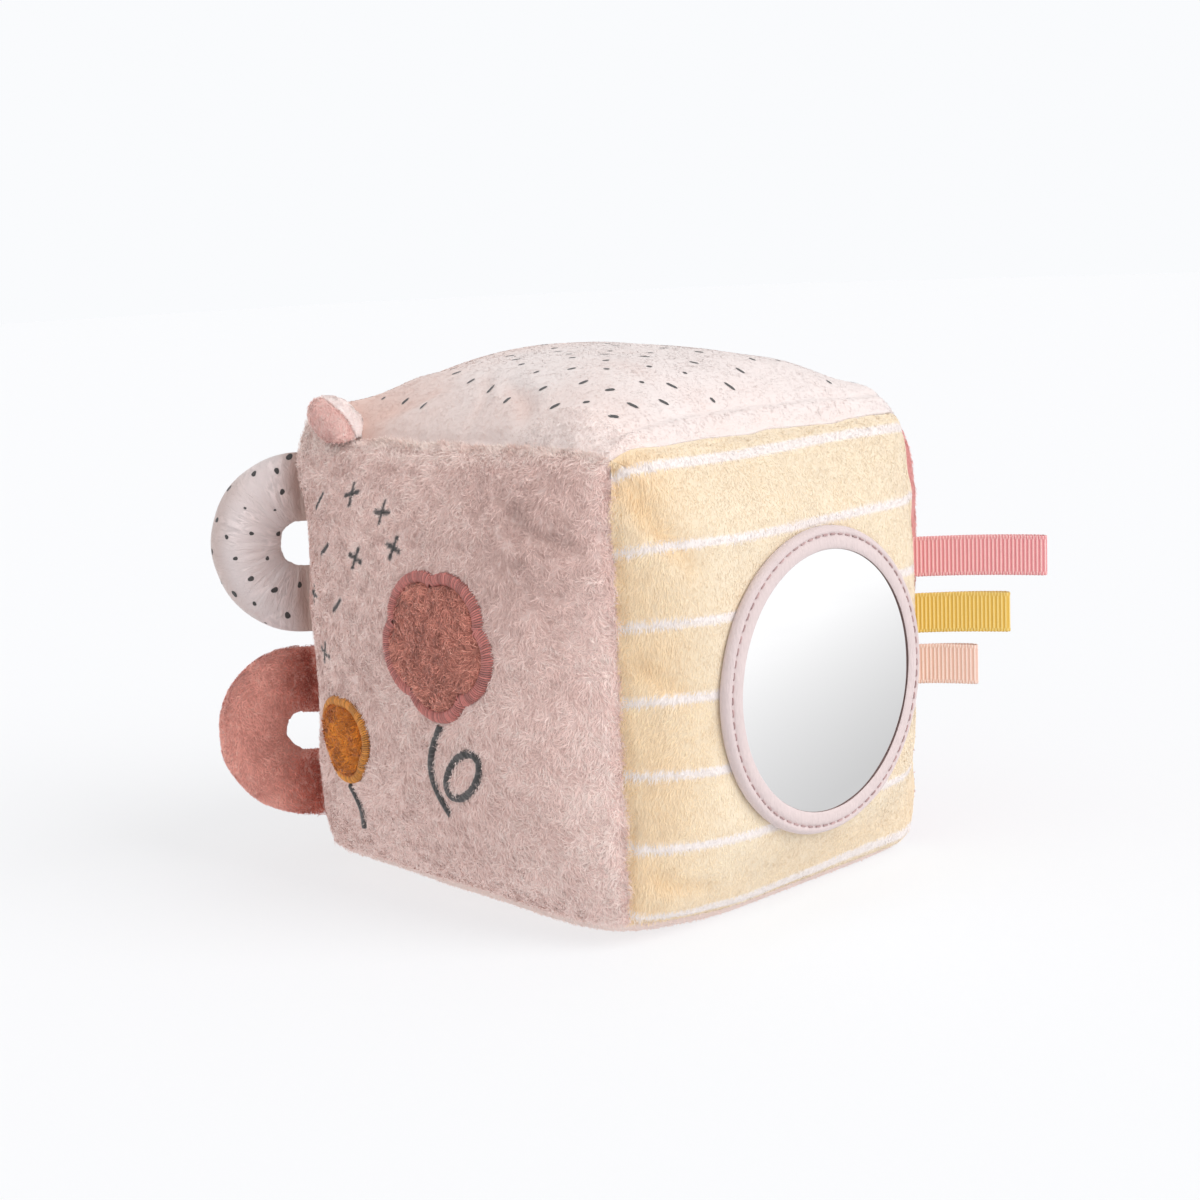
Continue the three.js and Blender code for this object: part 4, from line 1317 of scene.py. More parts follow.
def make_border(name, form, node, material, slot, pitch, height):
    """Satin stitches round a patch."""
    def path(turn):
        reach = petal_outline(form, turn) + form["border"] / 2
        return np.stack([reach * np.cos(turn), reach * np.sin(turn)], axis=-1)

    here, travel = stitch_places(path, np.linspace(0, TAU, 721), pitch, 0.01, closed=True)
    random = np.random.default_rng(len(name))
    half = form["border"] / 2 * random.uniform(0.94, 1.08, len(here))
    lift = height * random.uniform(0.93, 1.05, len(here))
    middle = form["right"], form["up"]
    paths = satin_paths(middle, here, travel, half, lift, 0.35, 8, roundness=0.8, base=0.15)
    add_threads(name, paths, pitch * 0.47, PANELS["front"]["out"], material, slot, node)


STEM_PITCH = 0.42


def stem_top(form):
    return form["up"] - float(petal_outline(form, -math.pi / 2)) - form["border"] - STEM_GAP


def embroider_line(node, path, width, material, closed=False):
    """Short slanted stitches side by side along a line on the front panel."""
    here, travel = stitch_places(path, np.linspace(0, 1, 400), STEM_PITCH, 0.002, closed)
    paths = satin_paths((0, 0), here, travel, width / 2, 0.75, 0.55, 7)
    add_threads(f"{node}_stitches", paths, STEM_PITCH * 0.55, PANELS["front"]["out"], material,
                "charcoal_thread", node)


def make_stems(material):
    for node, form, stem in (("flower_stem", FLOWER, FLOWER_STEM), ("bud_stem", BUD, BUD_STEM)):
        def path(share):
            right = form["right"] + stem["sway"] * np.sin(share * math.pi)
            return np.stack([right, stem_top(form) - share * stem["length"]], axis=-1)

        embroider_line(node, path, stem["width"], material)
    foot_right, foot_up = FLOWER["right"] + LEAF["right"], stem_top(FLOWER) - LEAF["drop"]

    def leaf(share):
        along = LEAF["length"] / 2 * (1 - np.cos(share * TAU))
        across = LEAF["width"] / 2 * np.sin(share * TAU)
        return np.stack([
            foot_right + (along - across) * DIAGONAL, foot_up + (along + across) * DIAGONAL,
        ], axis=-1)

    embroider_line("flower_leaf", leaf, FLOWER_STEM["width"], material, closed=True)


def make_patch(name, form, node, colour, slot, count, seed):
    """A padded patch of plush: a domed sheet down to its edge, with its own pile."""
    rings, sides = 24, 144
    share, turn = np.meshgrid(np.linspace(0.02, 1, rings), np.arange(sides + 1) * TAU / sides, indexing="ij")
    reach = share * (petal_outline(form, turn) + 0.4)
    dome = PATCH_THICKNESS * np.minimum(1, 1.9 * (1 - share**6))
    right, up = form["right"] + reach * np.cos(turn), form["up"] + reach * np.sin(turn)
    points, _ = on_panel("front", right, up, dome + 0.1)
    out = PANELS["front"]["out"]
    points = points + (0.18 * noise(points, 3.5, seed) * (1 - share**4))[..., None] * out
    closed = points[:, :-1]
    back, _ = on_panel("front", form["right"], form["up"], np.array(-0.2))
    everything = np.concatenate([
        closed.reshape(-1, 3), closed[-1] - 0.3 * out, closed[0].mean(axis=0)[None], back[None],
    ])
    edge, size = (rings - 1) * sides, (rings + 1) * sides
    wall = np.roll(ring_quads(2, sides, start=edge)[:, ::-1], 1, axis=1)
    faces = [ring_quads(rings, sides)[:, ::-1], wall, fan(size, 0, sides),
             fan(size + 1, edge + sides, sides, turned=True)]
    piece = add_mesh(name, everything, faces, [ground_material(f"{name}_ground", shaded(colour, -0.1), 0.06)])
    seated(piece, "block", slot, node)
    flow = combed(-0.2 * Z_AXIS, 1.1, 1.6, swirl_size=9.0, clump_size=CLUMP_SIZE, seed=seed)
    shade = plain_shade(7.0, steps=7, spread=1.2, clumped=1.1, cloudy=0.6)
    materials = pile_materials(name, shaded(colour, 0.04), 0.28, steps=7)
    pile(f"{name}_pile", "block", Surface(points), count, 2.0, 0.25, 0.8, flow, shade, materials, slot,
         seed, curl=0.3)


# Mirror ring: a turned-in band of fabric with a row of running stitches

RING_PROFILE = [
    # radius, height above the seat
    (42.6, 0.3), (42.85, 0.8), (42.85, 1.5), (42.6, 2.2), (42.1, 2.8), (41.55, 3.1), (41.1, 3.12),
    (40.75, 2.98), (40.5, 2.85), (40.25, 2.95), (39.9, 3.2), (39.4, 3.42), (38.7, 3.55), (37.9, 3.52),
    (37.2, 3.4), (36.75, 3.2), (36.5, 2.98), (36.4, 2.82), (36.5, 2.68), (37.5, 2.66), (38.9, 2.66),
    (38.95, 1.5), (38.95, 0.3),
]
RING_FACE_HEIGHT = 2.7  # above it the profile is the ring's face
RING_SHIFT = 0.8  # of the sewn ring towards the front
RING_SEGMENTS = 360
STITCH_LENGTH = 1.9
RING_STITCHES = 78


def mirror_place(radius, height, turn):
    """Points round the mirror's axis: turn runs from the right, up."""
    middle = CENTRE + (HALF + MIRROR_SEAT_HEIGHT) * X_AXIS - MIRROR_DROP * Z_AXIS
    aside, up = radius * np.cos(turn) - RING_SHIFT, radius * np.sin(turn)
    return middle + aside[..., None] * Y_AXIS + up[..., None] * Z_AXIS + height[..., None] * X_AXIS


def make_ring():
    profile = np.array(RING_PROFILE)
    turn = np.arange(RING_SEGMENTS) * TAU / RING_SEGMENTS
    phase = np.abs(((turn * RING_STITCHES / TAU) % 1) - 0.5) * 2
    face = profile[:, 1] > RING_FACE_HEIGHT
    groove = bump(profile[:, 0], RING_STITCH_RADIUS, 0.8) * face
    height = profile[:, 1] - 0.22 * groove * smoothstep(0.2, 0.9, phase)[:, None]
    around = RING_OUTER_RADIUS * np.stack([np.cos(turn), np.sin(turn)], axis=-1)
    height = height + 0.12 * noise(around, 9, 51)[:, None] * face
    outer = profile[:, 0] > RING_STITCH_RADIUS
    radius = profile[:, 0] + 0.12 * noise(around, 12, 52)[:, None] * outer
    points = mirror_place(radius, height, turn[:, None])
    quads = ring_quads(RING_SEGMENTS, len(profile), closed=True)
    fabric = woven_material("ring_fabric", RING_FABRIC, 0.08, 0.55, 0.25, 0.85)
    # The low inner wall of the ring is painted dark: a painted shade in the gap above the mirror.
    inner_painted_shade = woven_material("ring_inner_painted_shade", RING_INNER_PAINTED_SHADE, 0.05, 0.4, 0.05, 0.9)
    in_painted_shade = (profile[:, 0] < 37) & (profile[:, 1] < 3.0)
    piece = add_mesh("mirror_ring_band", points.reshape(-1, 3), [quads], [fabric, inner_painted_shade],
                     np.tile(in_painted_shade, RING_SEGMENTS))
    seated(piece, "block", "ring_fabric", "mirror_ring")
    starts = (np.arange(RING_STITCHES) + 0.5) * TAU / RING_STITCHES
    share = np.linspace(-1, 1, 7)
    turns = starts[:, None] + share * STITCH_LENGTH / 2 / RING_STITCH_RADIUS
    paths = mirror_place(RING_STITCH_RADIUS, 2.86 + 0.2 * (1 - share**4), turns)
    add_threads("mirror_ring_stitches", paths, 0.24, X_AXIS, thread_set("ring_thread", RING_THREAD, 0.05),
                "rose_thread", sides=6)


def make_mirror():
    nodes = Nodes("mirror_silver", MIRROR_SILVER, 0.02, metallic=1.0)
    nodes.relief(nodes.noise(40.0, 1.0), 0.01)
    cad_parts["mirror_plate"].material_slots[0].material = nodes.material


# Handles

HANDLE_STATIONS = 130
HANDLE_STRAIGHT_STATIONS = 14  # on each of the two legs
HANDLE_SIDES = 56


def handle_frame(out, across, along, height):
    """From a handle's own directions to the block's: out from the seam, across the ring, along it."""
    return np.stack([
        -SEAM_REACH - DIAGONAL * (out - across), -SEAM_REACH - DIAGONAL * (out + across), height + along,
    ], axis=-1)


def handle_points(form, inset=0.0, root=-5.0, wrinkles=None):
    """Rings of points along a handle, from its upper root round to its lower root."""
    bend_radius = form["span"] / 2 - TUBE_RADIUS
    bend_centre = form["reach"] - form["span"] / 2
    straight = HANDLE_STRAIGHT_STATIONS
    angles = np.concatenate([
        np.full(straight, math.pi / 2),
        np.linspace(math.pi / 2, -math.pi / 2, HANDLE_STATIONS - 2 * straight),
        np.full(straight, -math.pi / 2),
    ])
    leg = np.linspace(root, bend_centre, straight, endpoint=False)
    outs = np.concatenate([leg, np.full(HANDLE_STATIONS - 2 * straight, bend_centre), leg[::-1]])
    turn = np.arange(HANDLE_SIDES) * TAU / HANDLE_SIDES
    bend = bend_radius + TUBE_RADIUS * np.cos(turn)
    angle, start = angles[:, None], outs[:, None]
    from_seam = start + bend * np.cos(angle) - HANDLE_ROOT_START
    swell = 1 - (1 - np.clip(from_seam / HANDLE_SWELL_LENGTH, 0, 1)) ** 2
    depth = HANDLE_ROOT_HALF + (TUBE_RADIUS - HANDLE_ROOT_HALF) * swell
    lift = np.zeros(depth.shape) if wrinkles is None else wrinkles(angle, turn)
    from_bend = bend + (lift - inset) * np.cos(turn)
    out = start + from_bend * np.cos(angle)
    across = -(depth + lift - inset) * np.sin(turn)
    return handle_frame(out, across, from_bend * np.sin(angle), form["height"])


def capped(points, rings, sides):
    """Points and faces of a tube closed by a fan at each end."""
    count = rings * sides
    everything = np.concatenate([points.reshape(-1, 3), points[:1].mean(axis=1), points[-1:].mean(axis=1)])
    caps = fan(count, 0, sides, turned=True), fan(count + 1, count - sides, sides)
    return everything, [ring_quads(rings, sides), *caps]


def tube_outside(points):
    """The surface of a closed tube, with normals that point out."""
    return Surface(np.concatenate([points, points[:, :1]], axis=1)[:, ::-1])


def blend_handle(piece):
    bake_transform(piece)


def round_place(angle, size):
    """A place on a circle, for creases that run across a handle."""
    return size * np.stack([np.cos(angle), np.sin(angle)], axis=-1)


def tube_place(angle, turn):
    """A place on a handle of even size, for its unevenness."""
    parts = 20 * np.cos(angle), 20 * np.sin(angle), 8 * np.cos(turn)
    return np.stack(np.broadcast_arrays(*parts), axis=-1)


def jersey_wrinkles(angle, turn):
    """Radial creases that start at the hole, a seam round the outside, and a soft unevenness."""
    inner = ((1 - np.cos(turn)) / 2) ** 1.2 * (0.45 + 0.55 * np.abs(np.sin(turn)))
    creases = round_place(angle, 4.2)
    creases = noise(creases, 1.0, 61) + 0.5 * noise(creases * 1.9 + 3, 1.0, 62)
    seam = bump(np.sin(turn / 2), 0, 0.05)
    flank = bump(np.cos(turn), -0.35, 0.55)
    gathers = noise(round_place(angle, 9) + 0.25 * np.sin(turn)[..., None], 1.0, 66)
    uneven = 0.3 * noise(tube_place(angle, turn), 7.0, 63)
    return 0.3 * inner * creases + 0.4 * flank * gathers + uneven - 0.3 * seam


def plush_wrinkles(angle, turn):
    """A soft unevenness, and low creases round the hole."""
    inner = ((1 - np.cos(turn)) / 2) ** 2
    uneven = 0.35 * noise(tube_place(angle, turn), 6.0, 71)
    return uneven + 0.3 * inner * noise(round_place(angle, 5), 1.0, 72)


def make_handle(name, suffix, points, material, slot, values=()):
    """The padded cover of a ring handle, sewn to the block, and its filling."""
    everything, faces = capped(points, HANDLE_STATIONS, HANDLE_SIDES)
    cover = add_mesh(f"{name}_{suffix}", everything, faces, [material])
    for key, value, at_ends in values:
        attach(cover, key, np.append(value, [at_ends, at_ends]))
    blend_handle(seated(cover, None, slot, f"{name}_cover"))
    filling = handle_points(HANDLES[name], inset=1.1, root=2.5)
    middle = filling.mean(axis=1, keepdims=True)
    everything, faces = capped(middle + (filling - middle) * 0.97, HANDLE_STATIONS, HANDLE_SIDES)
    piece = add_mesh(f"{name}_fibre", everything, faces, [bpy.data.materials["fibre"]])
    seated(piece, name, "fibre_filling", f"{name}_stuffing")


DOT_PITCH = 6.6  # least distance between two dots, on average
DOT_TRIES = 4000
DOT_SIDES = 12
DOT_LIFT = 0.07
DOT_RADII = [0.4, 0.65, 0.85, 1.0]
DOT_ODDS = [0.1, 0.25, 0.35, 0.3]
RING_STEP = 0.8  # from one ring of points to the next, for the creases of the jersey
AROUND_SHARE = 0.42  # how much slower the creases change round the tube than along it


def from_corner(points):
    """How far points lie from the left seam, straight out from the block."""
    return -SEAM_REACH * math.sqrt(2) - (points[..., 0] + points[..., 1]) * DIAGONAL


def handle_painted_shade(points, outer):
    """Share of the painted shade, a warmer and darker colour: all of it beside the block, some of it round
    the outside.
    """
    turn = np.arange(HANDLE_SIDES) * TAU / HANDLE_SIDES
    away = from_corner(points)
    rim = outer * smoothstep(0.2, 1.0, np.cos(turn)) * smoothstep(10, 26, away)
    return np.clip(np.maximum(1 - smoothstep(-1, 8, away), rim) + 0.1 * noise(points, 5.0, 65), 0, 1)


def dot_places(surface, random):
    """Places of the printed dots on a handle, in steps of its grid, none too near another."""
    chosen, places = [], []
    for _ in range(DOT_TRIES):
        i, j = surface.scatter(1, random)
        place, _ = surface.at(i, j)
        if not HANDLE_STRAIGHT_STATIONS + 2 < i[0] < HANDLE_STATIONS - HANDLE_STRAIGHT_STATIONS - 3:
            continue
        if all(np.linalg.norm(place[0] - other) > DOT_PITCH * random.uniform(0.85, 1.25) for other in chosen):
            chosen.append(place[0])
            places.append((i[0], j[0]))
    return places


def make_dots(surface):
    """Uneven printed dots that lie on a handle, whose surface has normals that point in."""
    random = np.random.default_rng(77)
    turn = np.arange(DOT_SIDES) * TAU / DOT_SIDES
    points, quads, fans = [], [], []
    for k, (i, j) in enumerate(dot_places(surface, random)):
        radius = random.choice(DOT_RADII, p=DOT_ODDS)
        uneven = 1 + 0.16 * np.sin(2 * turn + random.uniform(0, TAU))
        uneven = uneven + 0.08 * np.sin(3 * turn + random.uniform(0, TAU))
        step_i = np.linalg.norm(surface.at(i + 0.5, j)[0] - surface.at(i - 0.5, j)[0])
        low, high = max(j - 0.5, 0), min(j + 0.5, HANDLE_SIDES)
        step_j = np.linalg.norm(surface.at(i, high)[0] - surface.at(i, low)[0]) / (high - low)
        reach = [np.zeros(1), *(share * radius * uneven for share in (0.55, 1.0))]
        way = [turn[:1], turn, turn]
        at_i = i + np.concatenate([r * np.cos(t) / step_i for r, t in zip(reach, way)])
        at_j = (j + np.concatenate([r * np.sin(t) / step_j for r, t in zip(reach, way)])) % HANDLE_SIDES
        place, normal = surface.at(at_i, at_j)
        first = k * len(place)
        points.append(place - DOT_LIFT * normal)
        quads.append(np.roll(ring_quads(2, DOT_SIDES, start=first + 1)[:, ::-1], 1, axis=1))
        fans.append(fan(first, first + 1, DOT_SIDES))
    return add_mesh("upper_handle_printed_dots", np.concatenate(points),
                    [np.concatenate(quads), np.concatenate(fans)],
                    [woven_material("dot_print", shaded(CHARCOAL, -0.1), 0.1)])


def make_jersey_handle():
    name = "upper_handle"
    points = handle_points(HANDLES[name], wrinkles=jersey_wrinkles)
    stations, sides = np.arange(HANDLE_STATIONS)[:, None], np.arange(HANDLE_SIDES)
    around = AROUND_SHARE * TUBE_RADIUS * np.abs(TAU * sides / HANDLE_SIDES - math.pi)
    values = [
        # name, the value at each point, and that at the middles of the two ends
        ("painted_shade", handle_painted_shade(points, 0.75), 1),
        ("ring_along", RING_STEP * stations + 0 * sides, 0),
        ("ring_around", around + 0 * stations, 0),
    ]
    make_handle(name, "jersey", points, jersey_material("white_jersey", JERSEY, PAINTED_SHADE_JERSEY),
                "dotted_jersey", values)
    dots = make_dots(Surface(np.concatenate([points, points[:, :1]], axis=1)))
    blend_handle(seated(dots, None, "charcoal_thread"))


def make_plush_handle():
    name = "lower_handle"
    form = HANDLES[name]
    points = handle_points(form, inset=0.35, wrinkles=plush_wrinkles)
    ground = ground_material("rose_ground", shaded(ROSE, -0.12), 0.08)
    make_handle(name, "plush", points, ground, "rose_plush")

    def shade(points, j, random):
        tone = tones(points, random, 10.0, spread=0.8, clumped=0.9)
        # Painted shade: within 14 mm of the block the pile takes its warmer, darker colour.
        return graded(tone, 1 - smoothstep(0, 14, from_corner(points)), random)

    def trim(roots):
        half = form["span"] / 2
        from_bend = np.hypot(from_corner(roots) - form["reach"] + half, roots[:, 2] - form["height"])
        return 0.25 + 0.75 * smoothstep(half - 2 * TUBE_RADIUS, half - 1.4 * TUBE_RADIUS, from_bend)

    fibres = pile("lower_handle_pile", None, tube_outside(points), 24000, 1.6, 0.22, 0.5,
                  combed(-0.4 * Z_AXIS, 0.9, 0.9, swirl_size=12.0, clump_size=2.5, seed=73),
                  shade, graded_pile("rose", ROSE, PAINTED_SHADE_ROSE, 0.17), "rose_plush", 131, trim, curl=0.3)
    blend_handle(fibres)


# Ribbons: grosgrain folded in half, with ribs across and a corded edge

RIBBON_STEP = 0.15
RIBBON_ACROSS = 30
RIBBON_ROOT = -3.0
RIBBON_ROOT_GAP_HALF = 0.05
SELVEDGE = 1.0


def ribbon_material(name, colour, light):
    """Thick ribs with a painted highlight on their crests, from the mesh's tone, between fine dark gaps."""
    nodes = Nodes(name, colour, 0.5, sheen=0.25, specular=0.45)
    ribs = nodes.mix(nodes.value("tone"), colour, light)
    threads = nodes.noise(0.16, 2.0, (1, 1, 0.5))
    gaps = nodes.share(threads, 0.3, 0.7, 0.25, "LINEAR")
    nodes.colour(nodes.mix(gaps, ribs, shaded(colour, -0.12)))
    nodes.relief(threads, 0.04)
    return nodes.material


def ribbon_line(reach):
    """The middle of a folded ribbon from one root to the other: out from the seam, and aside."""
    half = RIBBON_THICKNESS / 2
    fold_radius = RIBBON_FOLD_GAP / 2 + half
    fold_centre = reach - RIBBON_THICKNESS - RIBBON_FOLD_GAP / 2
    leg = np.arange(RIBBON_ROOT, fold_centre, RIBBON_STEP)
    arc = np.linspace(0, math.pi, int(math.pi * fold_radius / RIBBON_STEP) + 2)[1:-1]
    opened = (fold_radius - half - RIBBON_ROOT_GAP_HALF) * smoothstep(0, fold_centre, leg)
    offset = RIBBON_ROOT_GAP_HALF + half + opened
    return np.concatenate([
        np.stack([leg, -offset], axis=-1),
        np.stack([fold_centre + fold_radius * np.sin(arc), -fold_radius * np.cos(arc)], axis=-1),
        np.stack([leg[::-1], offset[::-1]], axis=-1),
    ])


def ribs_along(length, pitch):
    """From 0 in the gaps between ribs to 1 on their crests."""
    return 0.5 + 0.5 * np.cos(TAU * length / pitch)


def make_ribbon(key, slot):
    height, reach, droop, colour, light = RIBBONS[key]
    line = ribbon_line(reach)
    travel = unit(np.gradient(line, axis=0))
    normal = np.stack([travel[:, 1], -travel[:, 0]], axis=-1)
    length = lengths_along(line)
    across = np.linspace(-1, 1, RIBBON_ACROSS)
    from_edge = (1 - np.abs(across)) * RIBBON_WIDTH / 2
    edge = 1 - smoothstep(SELVEDGE - 0.25, SELVEDGE + 0.1, from_edge)
    ribs = 0.26 * (ribs_along(length, RIB_PITCH) ** 0.7 - 0.5)
    cord = 0.12 * np.cos(TAU * length / (RIB_PITCH * 0.5))
    rise = ribs[:, None] * (1 - edge) + (cord[:, None] + 0.02) * edge
    rise = rise * smoothstep(0, 0.4, from_edge + 0.15)
    scallop = 0.05 * np.sin(TAU * length / RIB_PITCH)[:, None] * np.sign(across) * (np.abs(across) > 0.99)
    width = RIBBON_WIDTH / 2 * across + scallop
    hang = droop * np.clip(line[:, 0] / reach, 0, 1) ** 2
    wave = 0.25 * np.sin(line[:, 0] / 11.0)

    def place(out, aside, up):
        return np.stack([
            SEAM_REACH + DIAGONAL * (out - aside), SEAM_REACH + DIAGONAL * (out + aside), height + up,
        ], axis=-1)

    sheets = []
    for lift in (RIBBON_THICKNESS / 2 + rise, rise - RIBBON_THICKNESS / 2):
        out = line[:, :1] + normal[:, :1] * lift
        aside = line[:, 1:] + normal[:, 1:] * lift + wave[:, None]
        sheets.append(place(out, aside, width - hang[:, None]).reshape(-1, 3))
    rows, columns = len(line), RIBBON_ACROSS
    size = rows * columns
    i = np.arange(rows - 1) * columns
    low_edge = np.stack([i, i + size, i + columns + size, i + columns], axis=-1)
    j = np.arange(columns - 1)
    first = np.stack([j, j + 1, j + 1 + size, j + size], axis=-1)
    faces = [
        grid_quads(rows, columns), grid_quads(rows, columns, start=size, turned=True),
        low_edge, low_edge[:, ::-1] + columns - 1, first, first[:, ::-1] + size - columns,
    ]
    piece = add_mesh(f"{key}_ribbon_loop", np.concatenate(sheets), faces,
                     [ribbon_material(f"{key}_grosgrain", colour, light)])
    # The tone is a painted highlight on the crests of the ribs and the beads of the corded edge.
    crest = smoothstep(0.62, 0.9, ribs_along(length, RIB_PITCH))[:, None] * (1 - edge)
    beads = smoothstep(0.3, 0.8, ribs_along(length, RIB_PITCH * 0.75))[:, None] * edge
    tone = np.clip(crest + 0.9 * beads, 0, 1)
    attach(piece, "tone", [tone, tone])
    check_outward(piece)
    seated(piece, None, slot, f"{key}_ribbon")
    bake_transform(piece)


def check_outward(piece):
    """Turns a closed mesh's faces round if they point in."""
    mesh = piece.data
    mesh.calc_loop_triangles()
    places = np.zeros(len(mesh.vertices) * 3, np.float32)
    mesh.vertices.foreach_get("co", places)
    corners = np.zeros(len(mesh.loop_triangles) * 3, np.int32)
    mesh.loop_triangles.foreach_get("vertices", corners)
    a, b, c = places.reshape(-1, 3)[corners.reshape(-1, 3).T]
    if float((a * np.cross(b, c)).sum()) < 0:
        mesh.flip_normals()


# Ear: two padded layers side by side on one root


def ear_lobe(form, steps=56, sides=48):
    """Loops of points round one pad, flattened against the other, from its far end to its root."""
    share = np.linspace(0.01, 0.99, steps)[:, None]
    reach = -np.cos(share * math.pi)
    full = np.maximum(1 - reach**2, 0) ** 0.42
    turn = np.arange(sides) * TAU / sides
    length, width, thickness = form["half"]
    lean = math.radians(form["lean"])
    along, aside = length * reach + 0 * turn, width * full * np.cos(turn)
    away = form["side"] * (form["at"][2] + thickness * full * np.sin(turn))
    away = form["side"] * (0.05 + EAR_PRESS * np.logaddexp(0, away / EAR_PRESS))
    right = form["at"][0] + along * math.cos(lean) - aside * math.sin(lean)
    up = form["at"][1] + along * math.sin(lean) + aside * math.cos(lean)
    return np.stack([right, EAR_ROOT_START + np.maximum(up, 0), away], axis=-1)


def ear_directions():
    """Where the ear starts on the seam, the way it stands, and the way that its front pad faces."""
    ahead, up = math.cos(math.radians(EAR_STAND)), math.sin(math.radians(EAR_STAND))
    start = np.array([EAR_CORNER_DISTANCE - HALF, -SEAM_REACH, CENTRE[2] + SEAM_REACH])
    return start, np.array([0, ahead, up]), np.array([0, -up, ahead])


def ear_place(local):
    """From the ear's own directions to the block's."""
    start, standing, facing = ear_directions()
    return start + local[..., :1] * X_AXIS + local[..., 1:2] * standing + local[..., 2:3] * facing


def press_pad(piece):
    """Gives a pad its own copy of its mesh."""
    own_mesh(piece)


def make_ear():
    pads = {
        # name: slot, colour and its contrast, count, length and rise of the fibres
        "ear_plush": ("ear_plush", EAR_PINK, 0.1, 8000, 1.3, 0.5),
        "ear_lining": ("ear_satin", EAR_SATIN, 0.04, 6000, 1.0, 0.25),
    }
    for name, (slot, colour, contrast, count, length, rise) in pads.items():
        points = ear_place(ear_lobe(EAR_LOBES[name]))
        middle = points.mean(axis=1, keepdims=True)
        creases = 0.4 * noise(points, 4.5, 81) + 0.2 * noise(points, 1.8, 82)
        points = points + creases[..., None] * unit(points - middle)
        everything, faces = capped(points, *points.shape[:2])
        piece = add_mesh(f"{name}_layer", everything, faces,
                         [smooth_plush_material(f"{name}_ground", colour, 0.04)])
        check_outward(piece)
        seated(piece, "ear", slot, name)
        fuzz = pile(f"{name}_pile", "ear", tube_outside(points), count, length, 0.18, rise,
                    combed(0.3 * X_AXIS - 0.4 * Z_AXIS, 0.6, 0.7, seed=83), plain_shade(7.0),
                    pile_materials(name, colour, contrast), slot, 141)
        if name == "ear_plush":
            press_pad(piece)
            press_pad(fuzz)


# CAD pieces that keep their own shape


def finish_hidden_nodes():
    finishes = {
        "rattle_case_lower rattle_case_upper": plastic_material("rattle_plastic", RATTLE_WHITE, 0.4),
        "rattle_ball_1 rattle_ball_2 rattle_ball_3": plastic_material("ball_plastic", BALL_YELLOW, 0.3),
        "mirror_backing": woven_material("felt", FELT, 0.05, 0.8, 0.15, 0.95),
    }
    for nodes, material in finishes.items():
        for node in nodes.split():
            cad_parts[node].material_slots[0].material = material


# Floor, light and camera

BACKGROUND = (0.955, 0.965, 0.982)
AMBIENT_COLOUR = (0.985, 0.962, 0.957)
AMBIENT = 0.57
FLOOR_SHARE = 0.32  # of the floor's light that comes from the lamps, so that shadows stay soft
FLOOR_LIGHT = 0.985  # lamp light that reaches the open floor
FLOOR_HALF = 7000.0
DOME_RADIUS = 9000.0
SUNS = {
    # name: direction from the block, strength, and spread in degrees
    "key": ((0.76, 0.22, 0.60), 0.60, 45),
    "top": ((0.1, -0.1, 1.0), 0.05, 90),
    "fill": ((-0.3, -0.9, 0.3), 0.14, 90),
}


def add_sun(name, direction, strength, spread):
    """A far, soft light that shines from a direction onto the block."""
    data = bpy.data.lights.new(name, "SUN")
    data.energy = strength * math.pi
    data.angle = math.radians(spread)
    light = bpy.data.objects.new(name, data)
    light.rotation_euler = Vector(direction).to_track_quat("Z", "Y").to_euler()
    bpy.context.scene.collection.objects.link(light)


def glow_material(name, colour, by_tone=False):
    """Light of its own, even or as strong as the mesh's tone."""
    material = bpy.data.materials.new(name)
    material.use_nodes = True
    nodes, links = material.node_tree.nodes, material.node_tree.links
    nodes.clear()
    glow = nodes.new("ShaderNodeEmission")
    glow.inputs["Color"].default_value = (*colour, 1)
    glow.inputs["Strength"].default_value = 1.0
    if by_tone:
        tone = nodes.new("ShaderNodeAttribute")
        tone.attribute_name = "tone"
        links.new(tone.outputs["Fac"], glow.inputs["Strength"])
    links.new(glow.outputs[0], nodes.new("ShaderNodeOutputMaterial").inputs["Surface"])
    return material


def add_card(name, points, quads, material):
    """A part of the studio that is not part of the toy."""
    card = add_mesh(name, points, [quads], [material], smooth=False)
    return card


def make_dome():
    """A white surround for every view. It is seen and reflected but gives no light."""
    rows, columns = 12, 48
    height, turn = np.linspace(-0.15, 1, rows)[:, None] * math.pi / 2, np.arange(columns) * TAU / columns
    parts = np.cos(height) * np.cos(turn), np.cos(height) * np.sin(turn), np.sin(height)
    points = DOME_RADIUS * np.stack(np.broadcast_arrays(*parts), axis=-1)
    dome = add_card("surround", points.reshape(-1, 3), ring_quads(rows, columns),
                    glow_material("surround", BACKGROUND))
    dome.visible_diffuse = dome.visible_shadow = dome.visible_transmission = False


def make_painted_reflection():
    """A glowing card, graded from grey near the block to white further off, that lies beside the block and is
    seen only in the mirror: a painted reflection.
    """
    steps = np.linspace(0, 1, 41)
    across, along = np.meshgrid(95 + 1400 * steps**2, -300 + 1900 * steps, indexing="ij")
    slope = 0.0031 * (across - 274)
    tone = 1.06 * np.clip(0.807 + slope - 0.0012 * (along - 241), 0.6, 0.985)
    points = np.stack([across, along, np.ones(across.shape)], axis=-1)
    card = add_card("painted_reflection_card", points.reshape(-1, 3), grid_quads(*tone.shape),
                    glow_material("painted_reflection_card", (1, 1, 1), by_tone=True))
    attach(card, "tone", tone)
    card.visible_camera = card.visible_diffuse = card.visible_shadow = card.visible_transmission = False


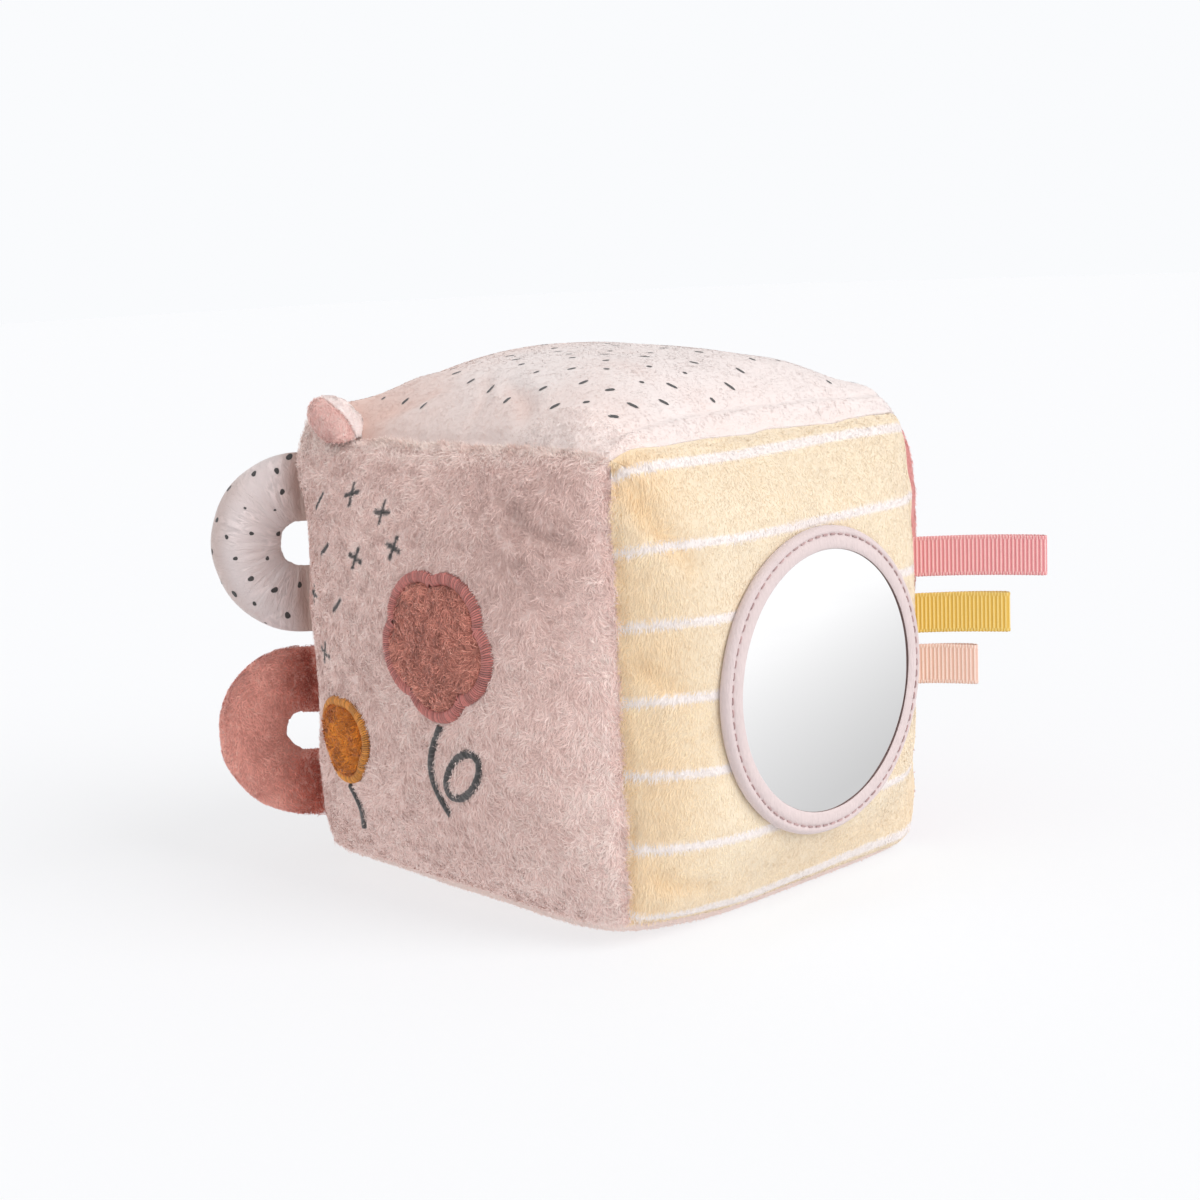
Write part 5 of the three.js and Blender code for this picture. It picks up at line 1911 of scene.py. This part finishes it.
def make_studio():
    scene = bpy.context.scene
    scene.view_settings.view_transform = "Standard"
    world = bpy.data.worlds.new("studio")
    world.use_nodes = True
    background = world.node_tree.nodes["Background"]
    background.inputs["Color"].default_value = (*AMBIENT_COLOUR, 1)
    background.inputs["Strength"].default_value = AMBIENT
    scene.world = world
    nodes = Nodes("floor", (255, 255, 255), 1.0, specular=0.0)
    shader = nodes.shader.inputs
    shader["Base Color"].default_value = (*(FLOOR_SHARE * c / FLOOR_LIGHT for c in BACKGROUND), 1)
    shader["Emission Color"].default_value = (*BACKGROUND, 1)
    shader["Emission Strength"].default_value = 1 - FLOOR_SHARE
    corners = FLOOR_HALF * np.array([[-1, -1, 0], [1, -1, 0], [1, 1, 0], [-1, 1, 0]])
    add_card("floor", corners, np.array([[0, 1, 2, 3]]), nodes.material)
    make_dome()
    make_painted_reflection()
    for name, sun in SUNS.items():
        add_sun(name, *sun)


def make_camera():
    azimuth, elevation, roll = (math.radians(a) for a in (CAMERA_AZIMUTH, CAMERA_ELEVATION, CAMERA_ROLL))
    flat = math.cos(elevation)
    back = np.array([math.sin(azimuth) * flat, -math.cos(azimuth) * flat, math.sin(elevation)])
    right = unit(np.cross(-back, Z_AXIS))
    up = np.cross(back, right)
    target = CAMERA_SIDE_STEP * right + CAMERA_TARGET_HEIGHT * Z_AXIS
    turned_right = math.cos(roll) * right + math.sin(roll) * up
    turned_up = -math.sin(roll) * right + math.cos(roll) * up
    data = bpy.data.cameras.new("camera")
    data.lens = CAMERA_LENS
    data.sensor_width = 36.0
    data.clip_start = 0.01
    camera = bpy.data.objects.new("camera", data)
    matrix = Matrix.Identity(4)
    for column, axis in enumerate((turned_right, turned_up, back)):
        for row in range(3):
            matrix[row][column] = axis[row]
    matrix.translation = Vector((target + CAMERA_DISTANCE * back) * MM)
    camera.matrix_world = matrix
    bpy.context.scene.collection.objects.link(camera)
    bpy.context.scene.camera = camera


# The whole scene: camera and studio first, then the panels and what is sewn to them

make_camera()
make_studio()
make_surfaces()
make_front()
for name, fringe in FRINGES.items():
    make_fringe(name, *fringe)
make_mirror_panel()
make_plain_panel("ribbon", "ribbon_panel", "coral_plush", CORAL, 34000, 151, trim=coral_trim)
make_plain_panel("handle", "handle_panel", "peach_plush", PEACH, 24000, 152)
make_plain_panel("base", "base_panel", "plain_pale_plush", BASE_PINK, 14000, 153, length=1.2, contrast=0.05)
make_top()
make_stuffing()
make_patch("flower_patch_plush", FLOWER, "flower_patch", PATCH_ROSE, "rose_plush", 7500, 161)
make_patch("bud_patch_plush", BUD, "bud_patch", OCHRE, "ochre_plush", 3000, 162)
make_border("flower_satin_border", FLOWER, "flower_border", thread_set("rose_thread", ROSE_THREAD, 0.09),
            "rose_thread", 0.62, 1.4)
make_border("bud_satin_border", BUD, "bud_border", thread_set("ochre_thread", OCHRE_THREAD, 0.09),
            "ochre_thread", 0.6, 1.3)
make_stems(thread_set("charcoal_thread", CHARCOAL, 0.25))
make_ring()
make_mirror()
make_jersey_handle()
make_plush_handle()
for name in RIBBONS:
    make_ribbon(name, f"{name}_grosgrain")
make_ear()
finish_hidden_nodes()
